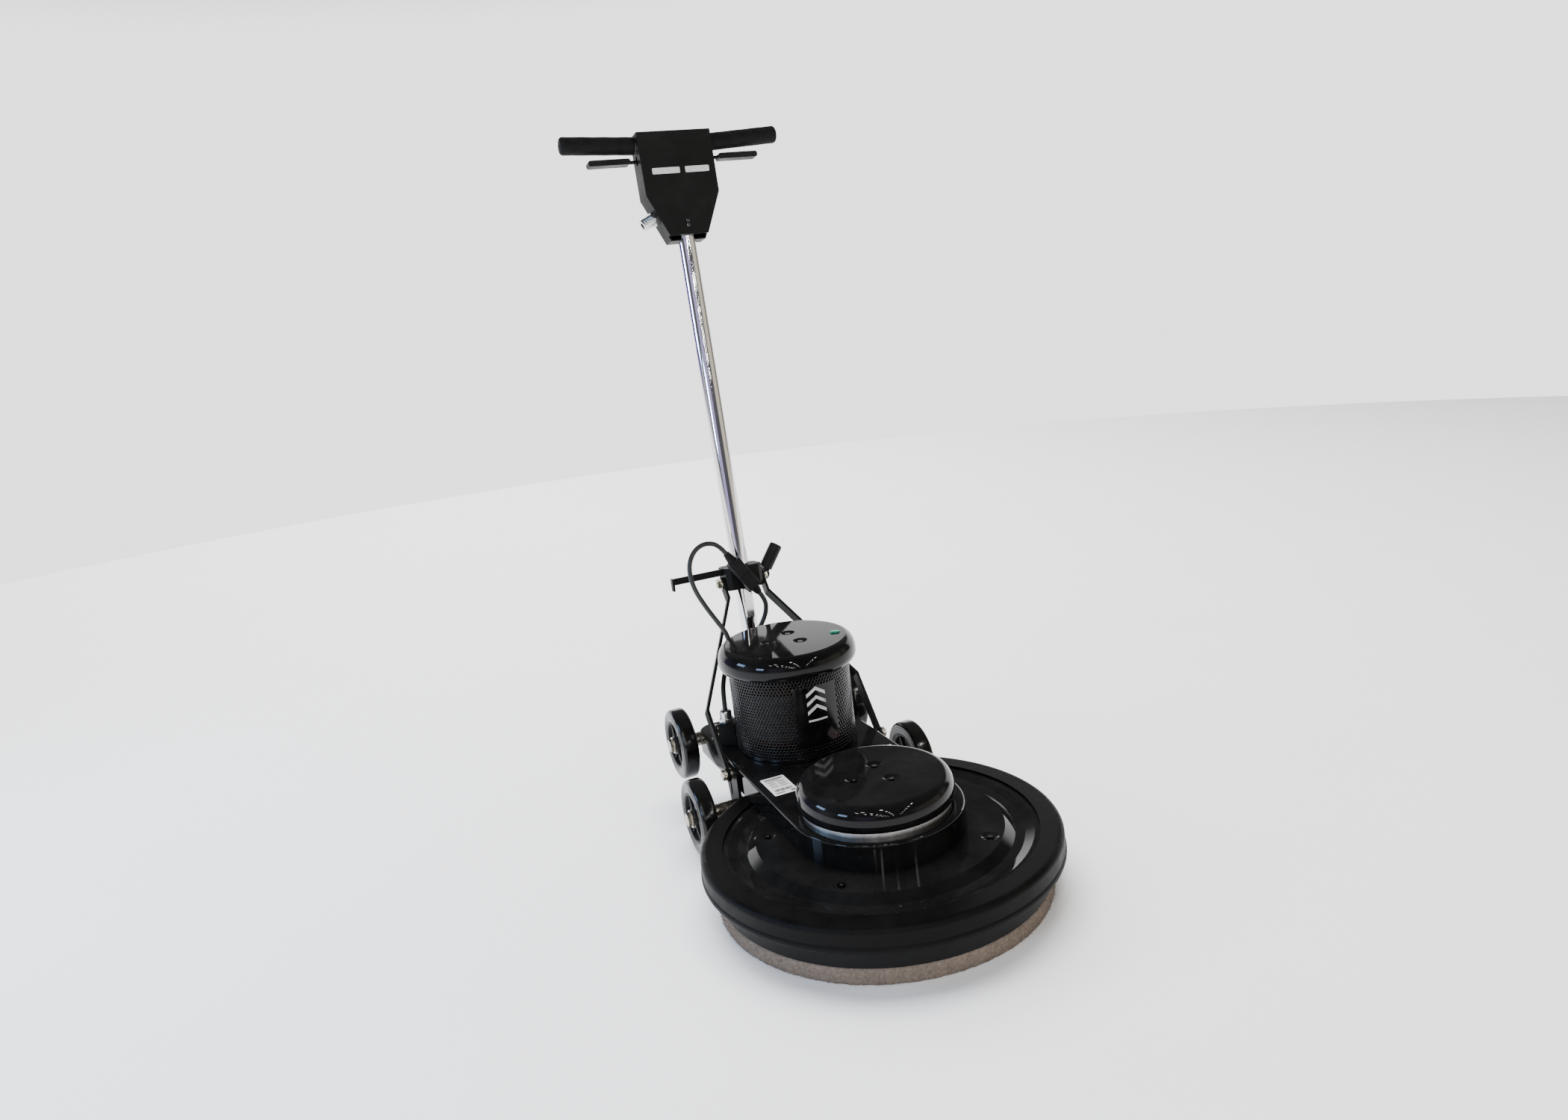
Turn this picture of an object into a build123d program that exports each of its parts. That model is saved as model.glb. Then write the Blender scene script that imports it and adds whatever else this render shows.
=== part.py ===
"""High speed floor burnisher, 20 inch, belt driven.

Millimetres, +Z up. The origin is on the floor under the middle of the pad. The operator stands
at +Y, so the pad end is towards -Y. Each piece is its own node, written to parts/NAME.step.
"""

from build123d import *
import os
from math import atan2, cos, degrees, hypot, pi, radians, sin, tan

os.makedirs("parts", exist_ok=True)

# ---------------------------------------------------------------- driving dimensions
PAD_R = 254.0            # 20 inch pad
PAD_HOLE_R = 38.0
PAD_TOP = 25.0
DRIVER_R = 250.0
DRIVER_TOP = 36.0
DRIVER_RIM_TOP = 64.0
DECK_R = 259.5           # outside of the pressed deck's skirt
DECK_TOP = 96.0
DECK_SKIRT_Z = 60.0
DECK_RIM_Z = 90.0
SHEET = 2.5
BUMPER_R = 270.0
BUMPER_LIP_R = 271.5
BUMPER_TOP = 94.0
BUMPER_BOTTOM = 55.5
BUMPER_INNER_R = 236.0

CHASSIS_R = 131.0        # round front and half the width of the belt housing
CHASSIS_REAR = 475.0
CHASSIS_TOP = 136.0
CHASSIS_WALL = 3.0

MOTOR_Y = 300.0
SLEEVE_R = 103.5
SLEEVE_TOP = 295.0
BASE_R = 101.6           # the motor's base fits inside the sleeve
MOTOR_BASE_TOP = 158.0
CAP_HEIGHT = 38.0        # the dome and the motor cap are the same stamping
RING_TOP = 151.0
DOME_BASE = 144.0
CAP_BASE = 282.0
DIMPLE_R = 13.0          # dished seats of the cover screws
CAP_SCREW_R = 32.0
CAP_SCREW_ANGLES = (60, 180, 300)

FIT = 0.04               # running clearance on a radius
SPINDLE_R = 15.0
SPINDLE_TOP_R = 12.5
ROTOR_SHAFT_R = 10.0
PAD_PULLEY_R = 84.0
MOTOR_PULLEY_R = 72.0    # 84/72 is the 1750 to 1500 rpm step-down
PULLEY_Z = 106.0
PULLEY_W = 20.0
BELT_T = 4.0

WHEEL_R = 63.5           # 5 inch wheels
WHEEL_W = 30.0
AXLE_R = 8.0
FRONT_WHEEL_Y = 264.0
FRONT_WHEEL_X = 185.0    # inner face
REAR_WHEEL_Y = 447.0
REAR_WHEEL_Z = 123.0
REAR_WHEEL_X = 152.0     # inner face
BRACKET_T = 5.0

LEAN = 6.0               # handle tube leans back from upright, degrees
PIVOT_Y = 463.0
PIVOT_Z = 160.0
TUBE_R = 15.875          # 1 1/4 inch tube
TUBE_WALL = 2.0
TUBE_TOP = 1026.0        # distances named ..._U run up the tube from its pivot
YOKE_U = 230.0
YOKE_HALF_W = 35.0
STRUT_Y = 268.0
STRUT_Z = 121.0
STRUT_X = 142.5          # middle of the strut's thickness at the chassis
STRUT_TOP_X = 38.5
STRUT_W = 19.0
STRUT_T = 5.0
STRUT_PIN_R = 4.0
STRUT_EYE_R = 7.2        # oversize, because the linkage is open at this pin

BOX_TOP_U = 1030.0
BOX_SHOULDER_U = 923.0
BOX_BOTTOM_U = 853.0
BOX_HALF_W = 67.0
BOX_HALF_FOOT = 35.5
BOX_LIP_U = 845.0        # the back half is a little longer
BOX_FRONT_V = -22.0
BOX_SEAM_V = -12.0
BOX_BACK_V = 21.0
BOX_T = 2.0
BAR_U = 1009.0
BAR_R = 11.0
BAR_RISE = 3.0           # each arm climbs towards its end, degrees
BAR_HALF = 198.0
GRIP_R = 15.0
TRIGGER_U = 985.5
TRIGGER_X = 48.0
GLAND_R = 10.0
GLAND_BORE_R = 5.5
GLAND_L = 27.0

LEAD_R = 4.25
CONNECTOR_X = -8.6
CONNECTOR_V = -38.0
CONNECTOR_U = 246.0
CONNECTOR_HALF = 31.0
BOOT_UP = 50.0
BOOT_DOWN = 46.0

lean_sin = sin(radians(LEAN))
lean_cos = cos(radians(LEAN))


# ---------------------------------------------------------------- places and planes
def on_stem(x, v, u):
    """A point given across, behind and up the handle tube, in the part's frame."""
    return (x, PIVOT_Y + u * lean_sin + v * lean_cos, PIVOT_Z + u * lean_cos - v * lean_sin)


def stem_plane(u, x=0, v=0):
    """Square to the tube, facing up it."""
    return Plane(origin=on_stem(x, v, u), x_dir=(1, 0, 0), z_dir=(0, lean_sin, lean_cos))


def face_plane(v, x=0, u=0):
    """Along the tube and across it, facing forward; its y runs up the tube."""
    return Plane(origin=on_stem(x, v, u), x_dir=(1, 0, 0), z_dir=(0, -lean_cos, lean_sin))


def side_plane(x, y, z):
    """Facing +X, with its x along +Y."""
    return Plane(origin=(x, y, z), x_dir=(0, 1, 0), z_dir=(1, 0, 0))


def rod_x(x0, x1, y, z, r, mode=Mode.ADD):
    with BuildSketch(side_plane(x0, y, z)) as face:
        Circle(r)
    extrude(face.sketch, amount=x1 - x0, mode=mode)


def hex_x(x0, x1, y, z, r, mode=Mode.ADD):
    with BuildSketch(side_plane(x0, y, z)) as face:
        RegularPolygon(r, 6)
    extrude(face.sketch, amount=x1 - x0, mode=mode)


def rod_z(z0, z1, x, y, r, mode=Mode.ADD):
    with BuildSketch(Plane.XY.offset(z0)) as face:
        with Locations((x, y)):
            Circle(r)
    extrude(face.sketch, amount=z1 - z0, mode=mode)


def hex_z(z0, z1, x, y, r, mode=Mode.ADD):
    with BuildSketch(Plane.XY.offset(z0)) as face:
        with Locations((x, y)):
            RegularPolygon(r, 6)
    extrude(face.sketch, amount=z1 - z0, mode=mode)


def rod_u(u0, u1, x, v, r, mode=Mode.ADD):
    with BuildSketch(stem_plane(u0, x, v)) as face:
        Circle(r)
    extrude(face.sketch, amount=u1 - u0, mode=mode)


def rod_v(v0, v1, x, u, r, mode=Mode.ADD):
    """From the front, v0, to the back, v1."""
    with BuildSketch(face_plane(v1, x, u)) as face:
        Circle(r)
    extrude(face.sketch, amount=v1 - v0, mode=mode)


def ring(z0, z1, x, y, r_out, r_in):
    with BuildSketch(Plane.XY.offset(z0)) as face:
        with Locations((x, y)):
            Circle(r_out)
            Circle(r_in, mode=Mode.SUBTRACT)
    extrude(face.sketch, amount=z1 - z0)


def turned(*profile):
    """Revolve an outline given as (radius, height) about the pad's axis."""
    with BuildSketch(Plane.XZ) as face:
        with BuildLine():
            Polyline(*profile, close=True)
        make_face()
    revolve(face.sketch, axis=Axis.Z)


def dished_seat(top, deep, x, y, floor_r):
    """Cone cut down to a flat floor for a screw head."""
    with Locations((x, y, top - deep / 2)):
        Cone(floor_r, DIMPLE_R, deep, mode=Mode.SUBTRACT)


def polar(radius, angle, y=0.0):
    return (radius * cos(radians(angle)), y + radius * sin(radians(angle)))


# ---------------------------------------------------------------- pad and its drive
# The pad's middle is cut from above only, as a pocket for the centre lock.
with BuildPart() as burnishing_pad:
    with BuildSketch():
        Circle(PAD_R)
    extrude(amount=PAD_TOP)
    rod_z(9, PAD_TOP, 0, 0, PAD_HOLE_R, Mode.SUBTRACT)
    fillet(burnishing_pad.edges().group_by(Axis.Z)[-1].sort_by(SortBy.LENGTH)[-1], 5)
burnishing_pad.part.label = "burnishing_pad"
export_step(burnishing_pad.part, "parts/burnishing_pad.step")

with BuildPart() as pad_driver:
    hub_top = 40.0
    rim_t = 8.0
    turned(
        (0, PAD_TOP), (DRIVER_R, PAD_TOP), (DRIVER_R, DRIVER_RIM_TOP),
        (DRIVER_R - rim_t, DRIVER_RIM_TOP), (DRIVER_R - rim_t, DRIVER_TOP),
        (60, DRIVER_TOP), (60, hub_top), (0, hub_top),
    )
    fillet(pad_driver.edges().group_by(Axis.Z)[-1].sort_by(SortBy.LENGTH)[-1], 3)
pad_driver.part.label = "pad_driver"
export_step(pad_driver.part, "parts/pad_driver.step")

with BuildPart() as centre_lock:
    turned((0, 10), (26, 10), (36, 16), (36, PAD_TOP), (0, PAD_TOP))
centre_lock.part.label = "centre_lock"
export_step(centre_lock.part, "parts/centre_lock.step")

with BuildPart() as spindle_shaft:
    flange_top = 48.0
    turned(
        (0, hub_top), (55, hub_top), (55, flange_top), (SPINDLE_R, flange_top), (SPINDLE_R, 132),
        (SPINDLE_TOP_R, 132), (SPINDLE_TOP_R, 158), (0, 158),
    )
spindle_shaft.part.label = "spindle_shaft"
export_step(spindle_shaft.part, "parts/spindle_shaft.step")


def pulley(y, r, bore):
    """A flat-belt pulley with a flange each side and six lightening holes."""
    flange = 2.0
    ring(PULLEY_Z, PULLEY_Z + PULLEY_W, 0, y, r, bore)
    for z in (PULLEY_Z - flange, PULLEY_Z + PULLEY_W):
        ring(z, z + flange, 0, y, r + 5, bore)
    for k in range(6):
        x, hole_y = polar(0.62 * r, 60 * k, y)
        rod_z(PULLEY_Z - 2 * flange, PULLEY_Z + PULLEY_W + 2 * flange, x, hole_y, 11, Mode.SUBTRACT)


with BuildPart() as pad_pulley:
    pulley(0, PAD_PULLEY_R, SPINDLE_R + 0.02)
pad_pulley.part.label = "pad_pulley"
export_step(pad_pulley.part, "parts/pad_pulley.step")

with BuildPart() as motor_pulley:
    pulley(MOTOR_Y, MOTOR_PULLEY_R, ROTOR_SHAFT_R + 0.02)
motor_pulley.part.label = "motor_pulley"
export_step(motor_pulley.part, "parts/motor_pulley.step")

# The belt's straights touch both pulleys: their angle comes from the two radii.
with BuildPart() as drive_belt:
    clear = 0.3
    side = degrees(atan2(PAD_PULLEY_R - MOTOR_PULLEY_R, MOTOR_Y))
    for grow, mode in ((clear + BELT_T, Mode.ADD), (clear, Mode.SUBTRACT)):
        pad_r = PAD_PULLEY_R + grow
        motor_r = MOTOR_PULLEY_R + grow
        right_pad = polar(pad_r, side)
        left_pad = polar(pad_r, 180 - side)
        right_motor = polar(motor_r, side, MOTOR_Y)
        left_motor = polar(motor_r, 180 - side, MOTOR_Y)
        with BuildSketch(Plane.XY.offset(PULLEY_Z + 1)):
            with BuildLine():
                Line(right_pad, right_motor)
                ThreePointArc(right_motor, (0, MOTOR_Y + motor_r), left_motor)
                Line(left_motor, left_pad)
                ThreePointArc(left_pad, (0, -pad_r), right_pad)
            make_face()
        extrude(amount=PULLEY_W - 2, mode=mode)
drive_belt.part.label = "drive_belt"
export_step(drive_belt.part, "parts/drive_belt.step")

# ---------------------------------------------------------------- deck
with BuildPart() as deck_cover:
    turned(
        (40, DECK_TOP), (186, DECK_TOP), (200, 85), (214, 85), (228, DECK_RIM_Z),
        (DECK_R, DECK_RIM_Z), (DECK_R, DECK_SKIRT_Z), (DECK_R - SHEET, DECK_SKIRT_Z),
        (DECK_R - SHEET, DECK_RIM_Z - SHEET), (229, DECK_RIM_Z - SHEET), (215, 85 - SHEET),
        (199, 85 - SHEET), (185, DECK_TOP - SHEET), (40, DECK_TOP - SHEET),
    )
    for angle in (-135, -45, 25, 155):
        x, y = polar(168, angle)
        rod_z(DECK_TOP - 2 * SHEET, DECK_TOP, x, y, DIMPLE_R + 2)
        dished_seat(DECK_TOP, SHEET, x, y, 8.5)
        rod_z(DECK_TOP - 3 * SHEET, DECK_TOP, x, y, 3.1, Mode.SUBTRACT)
deck_cover.part.label = "deck_cover"
export_step(deck_cover.part, "parts/deck_cover.step")

with BuildPart() as bumper_ring:
    with BuildSketch(Plane.XZ):
        with BuildLine():
            Polyline(
                (BUMPER_INNER_R, DECK_RIM_Z), (BUMPER_INNER_R, BUMPER_TOP), (BUMPER_R - 9, BUMPER_TOP)
            )
            RadiusArc((BUMPER_R - 9, BUMPER_TOP), (BUMPER_R, BUMPER_TOP - 9), 9)
            Line((BUMPER_R, BUMPER_TOP - 9), (BUMPER_R, 68))
            ThreePointArc((BUMPER_R, 68), (BUMPER_LIP_R, 61), (BUMPER_R - 4, BUMPER_BOTTOM))
            Polyline(
                (BUMPER_R - 4, BUMPER_BOTTOM), (DECK_R + 0.1, BUMPER_BOTTOM),
                (DECK_R + 0.1, DECK_RIM_Z), (BUMPER_INNER_R, DECK_RIM_Z),
            )
        make_face()
    revolve(axis=Axis.Z)
bumper_ring.part.label = "bumper_ring"
export_step(bumper_ring.part, "parts/bumper_ring.step")

# Lower housing stands in the deck, upper housing stands on the chassis under the dome.
with BuildPart() as bearing_housings:
    turned(
        (38, 61), (38, DECK_TOP), (70, DECK_TOP), (70, 102), (31, 102), (31, 86), (26, 86),
        (26, 77), (31, 77), (31, 61),
    )
    turned(
        (26, CHASSIS_TOP), (62, CHASSIS_TOP), (62, 142), (40, 142), (40, 175.8), (0, 175.8),
        (0, 164), (26, 164),
    )
    for angle in CAP_SCREW_ANGLES:
        x, y = polar(CAP_SCREW_R, angle)
        rod_z(165, 176, x, y, 2.6, Mode.SUBTRACT)
bearing_housings.part.label = "bearing_housings"
export_step(bearing_housings.part, "parts/bearing_housings.step")

with BuildPart() as ball_bearings:
    for z, y, r_in, r_out, width in (
        (61, 0, SPINDLE_R, 31, 16),
        (86, 0, SPINDLE_R, 31, 16),
        (140, 0, SPINDLE_TOP_R, 26, 15),
        (140, MOTOR_Y, ROTOR_SHAFT_R, 23.5, 14),
        (284, MOTOR_Y, ROTOR_SHAFT_R, 23.5, 14),
    ):
        ring(z, z + width, 0, y, r_out - 0.02, r_in + FIT)
ball_bearings.part.label = "ball_bearings"
export_step(ball_bearings.part, "parts/ball_bearings.step")

# ---------------------------------------------------------------- chassis
with BuildPart() as chassis_plate:
    rear_corner = 30.0
    for inset, top, mode in ((0, CHASSIS_TOP, Mode.ADD), (CHASSIS_WALL, CHASSIS_TOP - 3, Mode.SUBTRACT)):
        with BuildSketch(Plane.XY.offset(DECK_TOP)):
            Circle(CHASSIS_R - inset)
            with Locations((0, (CHASSIS_REAR - inset) / 2)):
                Rectangle(2 * (CHASSIS_R - inset), CHASSIS_REAR - inset)
        extrude(amount=top - DECK_TOP, mode=mode)
        if mode == Mode.ADD:
            uprights = chassis_plate.edges().filter_by(Axis.Z).group_by(Axis.Y)[-1]
            fillet(uprights, rear_corner)
            fillet(chassis_plate.faces().sort_by(Axis.Z)[-1].edges(), 4)
    rod_z(CHASSIS_TOP - 5, CHASSIS_TOP + 1, 0, 0, 45, Mode.SUBTRACT)
    rod_z(CHASSIS_TOP - 5, CHASSIS_TOP + 1, 0, MOTOR_Y, 34, Mode.SUBTRACT)
    rod_x(-140, 140, REAR_WHEEL_Y, REAR_WHEEL_Z, AXLE_R + 0.02, Mode.SUBTRACT)
    rod_x(-140, 140, STRUT_Y, STRUT_Z, 5.02, Mode.SUBTRACT)
chassis_plate.part.label = "chassis_plate"
export_step(chassis_plate.part, "parts/chassis_plate.step")

with BuildPart() as wheel_brackets:
    for side_x in (-CHASSIS_R - BRACKET_T, CHASSIS_R):
        with BuildSketch(side_plane(side_x, 0, 0)):
            with BuildLine():
                Polyline((243, 128), (298, 128), (298, 104), (284, 44), (250, 44), (243, 70), close=True)
            make_face()
            with Locations((FRONT_WHEEL_Y, WHEEL_R)):
                Circle(AXLE_R + 0.02, mode=Mode.SUBTRACT)
            with Locations((STRUT_Y, STRUT_Z)):
                Circle(5.02, mode=Mode.SUBTRACT)
            with Locations((278, 92)):
                SlotOverall(26, 7, rotation=90, mode=Mode.SUBTRACT)
        extrude(amount=BRACKET_T)
wheel_brackets.part.label = "wheel_brackets"
export_step(wheel_brackets.part, "parts/wheel_brackets.step")


def both_sides(x0, x1):
    """The same stretch of X on the right and, mirrored, on the left."""
    return ((x0, x1), (-x1, -x0))


with BuildPart() as front_axles:
    wheel_out = FRONT_WHEEL_X + WHEEL_W
    for x0, x1 in both_sides(118, wheel_out + 1):
        rod_x(x0, x1, FRONT_WHEEL_Y, WHEEL_R, AXLE_R)
    for x0, x1 in both_sides(wheel_out + 0.4, wheel_out + 2.4):
        rod_x(x0, x1, FRONT_WHEEL_Y, WHEEL_R, 15)
    for x0, x1 in both_sides(wheel_out + 2.4, wheel_out + 9):
        hex_x(x0, x1, FRONT_WHEEL_Y, WHEEL_R, 12)
    for x0, x1 in both_sides(121, CHASSIS_R):
        hex_x(x0, x1, FRONT_WHEEL_Y, WHEEL_R, 13)
front_axles.part.label = "front_axles"
export_step(front_axles.part, "parts/front_axles.step")

with BuildPart() as axle_spacers:
    for x0, x1 in both_sides(CHASSIS_R + BRACKET_T, FRONT_WHEEL_X - 0.5):
        rod_x(x0, x1, FRONT_WHEEL_Y, WHEEL_R, 12.5)
        rod_x(x0, x1, FRONT_WHEEL_Y, WHEEL_R, AXLE_R + 0.02, Mode.SUBTRACT)
    for x0, x1 in both_sides(CHASSIS_R, REAR_WHEEL_X - 0.5):
        rod_x(x0, x1, REAR_WHEEL_Y, REAR_WHEEL_Z, 12.5)
        rod_x(x0, x1, REAR_WHEEL_Y, REAR_WHEEL_Z, AXLE_R + 0.02, Mode.SUBTRACT)
axle_spacers.part.label = "axle_spacers"
export_step(axle_spacers.part, "parts/axle_spacers.step")

with BuildPart() as rear_axle:
    rear_out = REAR_WHEEL_X + WHEEL_W
    rod_x(-rear_out - 1, rear_out + 1, REAR_WHEEL_Y, REAR_WHEEL_Z, AXLE_R)
    for x0, x1 in both_sides(rear_out + 0.4, rear_out + 2.4):
        rod_x(x0, x1, REAR_WHEEL_Y, REAR_WHEEL_Z, 15)
    for x0, x1 in both_sides(rear_out + 2.4, rear_out + 9):
        hex_x(x0, x1, REAR_WHEEL_Y, REAR_WHEEL_Z, 12)
rear_axle.part.label = "rear_axle"
export_step(rear_axle.part, "parts/rear_axle.step")


def wheel(x0, y, z):
    """Tyre and hub; the hub is dished on both faces between its boss and its rim."""
    tyre_in = 43.0
    dish = 7.0
    axle = Axis((x0, y, z), (1, 0, 0))
    with BuildSketch(Plane(origin=(x0, y, z), x_dir=(1, 0, 0), z_dir=(0, 0, 1))) as tyre:
        with Locations((WHEEL_W / 2, (WHEEL_R + tyre_in) / 2)):
            Rectangle(WHEEL_W, WHEEL_R - tyre_in)
        fillet(tyre.vertices().group_by(Axis.Y)[-1], 7)
    revolve(tyre.sketch, axis=axle)
    with BuildSketch(Plane(origin=(x0, y, z), x_dir=(1, 0, 0), z_dir=(0, 0, 1))) as hub:
        with BuildLine():
            Polyline(
                (0.5, AXLE_R + FIT), (0.5, 17), (dish, 19), (dish, 37), (1, 39), (1, tyre_in - 0.05),
                (WHEEL_W - 1, tyre_in - 0.05), (WHEEL_W - 1, 39), (WHEEL_W - dish, 37),
                (WHEEL_W - dish, 19), (WHEEL_W - 0.5, 17), (WHEEL_W - 0.5, AXLE_R + FIT), close=True,
            )
        make_face()
    revolve(hub.sketch, axis=axle)


# ---------------------------------------------------------------- dome and motor
def stamped_cap(base, y):
    """Round cap: open mouth, one full rounded wall, flat top with three dished screw seats."""
    widest = 118.5
    widest_z = base + 11
    flat_r = 102.5
    top = base + CAP_HEIGHT
    axis = Axis((0, y, 0), (0, 0, 1))
    with BuildSketch(Plane.XZ.offset(-y)) as face:
        with BuildLine():
            Line((113, base), (115, base))
            ThreePointArc((115, base), (117.6, base + 4.8), (widest, widest_z))
            EllipticalCenterArc(
                (flat_r, widest_z), widest - flat_r, top - widest_z, start_angle=0, arc_size=90
            )
            Polyline(
                (flat_r, top), (0, top), (0, top - 2), (101, top - 2), (110, top - 9),
                (115, base + 20), (116.3, widest_z), (115.6, base + 5), (113, base),
            )
        make_face()
    revolve(face.sketch, axis=axis)
    for angle in CAP_SCREW_ANGLES:
        x, screw_y = polar(CAP_SCREW_R, angle, y)
        rod_z(top - 6, top - 1, x, screw_y, DIMPLE_R + 2)
        dished_seat(top, 4, x, screw_y, 7.5)
        rod_z(top - 7, top, x, screw_y, 2.6, Mode.SUBTRACT)


with BuildPart() as dome_ring:
    ring(CHASSIS_TOP, RING_TOP, 0, 0, 112, 108.5)
dome_ring.part.label = "dome_ring"
export_step(dome_ring.part, "parts/dome_ring.step")

with BuildPart() as front_dome:
    stamped_cap(DOME_BASE, 0)
front_dome.part.label = "front_dome"
export_step(front_dome.part, "parts/front_dome.step")

with BuildPart() as motor_cap:
    stamped_cap(CAP_BASE, MOTOR_Y)
    with BuildSketch(Plane.XY.offset(CAP_BASE + CAP_HEIGHT - 3)):
        with Locations((80, MOTOR_Y - 30)):
            SlotOverall(17, 9, rotation=-25)
    extrude(amount=4, mode=Mode.SUBTRACT)
motor_cap.part.label = "motor_cap"
export_step(motor_cap.part, "parts/motor_cap.step")

with BuildPart() as pilot_lamp:
    with BuildSketch(Plane.XY.offset(CAP_BASE + CAP_HEIGHT - 8)):
        with Locations((80, MOTOR_Y - 30)):
            SlotOverall(16.6, 8.6, rotation=-25)
    extrude(amount=11)
    fillet(pilot_lamp.edges().group_by(Axis.Z)[-1], 2)
pilot_lamp.part.label = "pilot_lamp"
export_step(pilot_lamp.part, "parts/pilot_lamp.step")

# Pan-head screws of the dome, the motor cap and the deck.
with BuildPart() as cover_screws:
    for y, floor, end in (
        (0, DOME_BASE + CAP_HEIGHT - 4, 166),
        (MOTOR_Y, CAP_BASE + CAP_HEIGHT - 4, 302),
    ):
        for angle in CAP_SCREW_ANGLES:
            x, screw_y = polar(CAP_SCREW_R, angle, y)
            rod_z(end, floor, x, screw_y, 2.5)
            rod_z(floor, floor + 2.6, x, screw_y, 4.6)
    for angle in (-135, -45, 25, 155):
        x, y = polar(168, angle)
        rod_z(82, DECK_TOP - SHEET, x, y, 3)
        rod_z(DECK_TOP - SHEET, DECK_TOP - 0.2, x, y, 5.5)
cover_screws.part.label = "cover_screws"
export_step(cover_screws.part, "parts/cover_screws.step")

with BuildPart() as motor_base:
    ring(CHASSIS_TOP, CHASSIS_TOP + 4, 0, MOTOR_Y, BASE_R, 14)
    ring(CHASSIS_TOP + 4, MOTOR_BASE_TOP, 0, MOTOR_Y, BASE_R, BASE_R - 3)
    ring(CHASSIS_TOP + 4, 154, 0, MOTOR_Y, 32, 23.5)
    for k in range(4):
        x, y = polar(88, 45 + 90 * k, MOTOR_Y)
        rod_z(CHASSIS_TOP + 3, 150, x, y, 8)
        rod_z(CHASSIS_TOP - 1, 151, x, y, 4.02, Mode.SUBTRACT)
motor_base.part.label = "motor_base"
export_step(motor_base.part, "parts/motor_base.step")

with BuildPart() as motor_sleeve:
    ring(CHASSIS_TOP, SLEEVE_TOP, 0, MOTOR_Y, SLEEVE_R, SLEEVE_R - 1.8)
motor_sleeve.part.label = "motor_sleeve"
export_step(motor_sleeve.part, "parts/motor_sleeve.step")

with BuildPart() as stator_core:
    ring(172, 250, 0, MOTOR_Y, 96, 54.6)
stator_core.part.label = "stator_core"
export_step(stator_core.part, "parts/stator_core.step")

with BuildPart() as stator_windings:
    for z in (160, 250):
        ring(z, z + 12, 0, MOTOR_Y, 90, 60)
    fillet(stator_windings.edges().filter_by(GeomType.CIRCLE).group_by(Axis.Z)[-1], 4)
stator_windings.part.label = "stator_windings"
export_step(stator_windings.part, "parts/stator_windings.step")

with BuildPart() as end_bracket:
    ring(278, 284, 0, MOTOR_Y, SLEEVE_R - 2, 12)
    ring(284, 298, 0, MOTOR_Y, 38, 23.5)
    rod_z(298, CAP_BASE + CAP_HEIGHT - 6.2, 0, MOTOR_Y, 38)
    for k in range(6):
        x, y = polar(70, 60 * k + 30, MOTOR_Y)
        rod_z(277, 285, x, y, 14, Mode.SUBTRACT)
    for angle in CAP_SCREW_ANGLES:
        x, y = polar(CAP_SCREW_R, angle, MOTOR_Y)
        rod_z(301, 315, x, y, 2.6, Mode.SUBTRACT)
end_bracket.part.label = "end_bracket"
export_step(end_bracket.part, "parts/end_bracket.step")

with BuildPart() as motor_shaft:
    rod_z(102, 297, 0, MOTOR_Y, ROTOR_SHAFT_R)
motor_shaft.part.label = "motor_shaft"
export_step(motor_shaft.part, "parts/motor_shaft.step")

with BuildPart() as rotor_core:
    ring(168, 256, 0, MOTOR_Y, 54, ROTOR_SHAFT_R + 0.02)
rotor_core.part.label = "rotor_core"
export_step(rotor_core.part, "parts/rotor_core.step")

with BuildPart() as cooling_fan:
    ring(264, 267, 0, MOTOR_Y, 84, ROTOR_SHAFT_R + 0.02)
    ring(264, 276, 0, MOTOR_Y, 18, ROTOR_SHAFT_R + 0.02)
    with BuildSketch(Plane.XY.offset(266)):
        for k in range(9):
            with Locations(polar(57, 40 * k, MOTOR_Y)):
                Rectangle(50, 2.4, rotation=40 * k)
    extrude(amount=10)
cooling_fan.part.label = "cooling_fan"
export_step(cooling_fan.part, "parts/cooling_fan.step")

TENSION_X = -117.0
TENSION_Y = 392.0
with BuildPart() as motor_bolts:
    for k in range(4):
        x, y = polar(88, 45 + 90 * k, MOTOR_Y)
        rod_z(CHASSIS_TOP, 156, x, y, 4)
        hex_z(150, 156, x, y, 7)
    rod_z(CHASSIS_TOP, 163, TENSION_X, TENSION_Y, 4)
    rod_z(CHASSIS_TOP, CHASSIS_TOP + 2, TENSION_X, TENSION_Y, 9)
    hex_z(CHASSIS_TOP + 2, CHASSIS_TOP + 9, TENSION_X, TENSION_Y, 7.5)
    hex_z(CHASSIS_TOP + 13, CHASSIS_TOP + 20, TENSION_X, TENSION_Y, 7.5)
motor_bolts.part.label = "motor_bolts"
export_step(motor_bolts.part, "parts/motor_bolts.step")

TERMINAL_ANGLE = 147.0
TERMINAL_TOP = 175.0
GLAND_TOP = 196.0
terminal_x, terminal_y = polar(122, TERMINAL_ANGLE, MOTOR_Y)
with BuildPart() as terminal_box:
    with BuildSketch(Plane.XY.offset(CHASSIS_TOP)):
        with Locations(polar(119, TERMINAL_ANGLE, MOTOR_Y)):
            Rectangle(30, 34, rotation=TERMINAL_ANGLE)
        with Locations((0, MOTOR_Y)):
            Circle(SLEEVE_R + 0.1, mode=Mode.SUBTRACT)
    extrude(amount=TERMINAL_TOP - CHASSIS_TOP)
    fillet(terminal_box.edges().group_by(Axis.Z)[-1].filter_by(GeomType.LINE), 3)
terminal_box.part.label = "terminal_box"
export_step(terminal_box.part, "parts/terminal_box.step")

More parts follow.
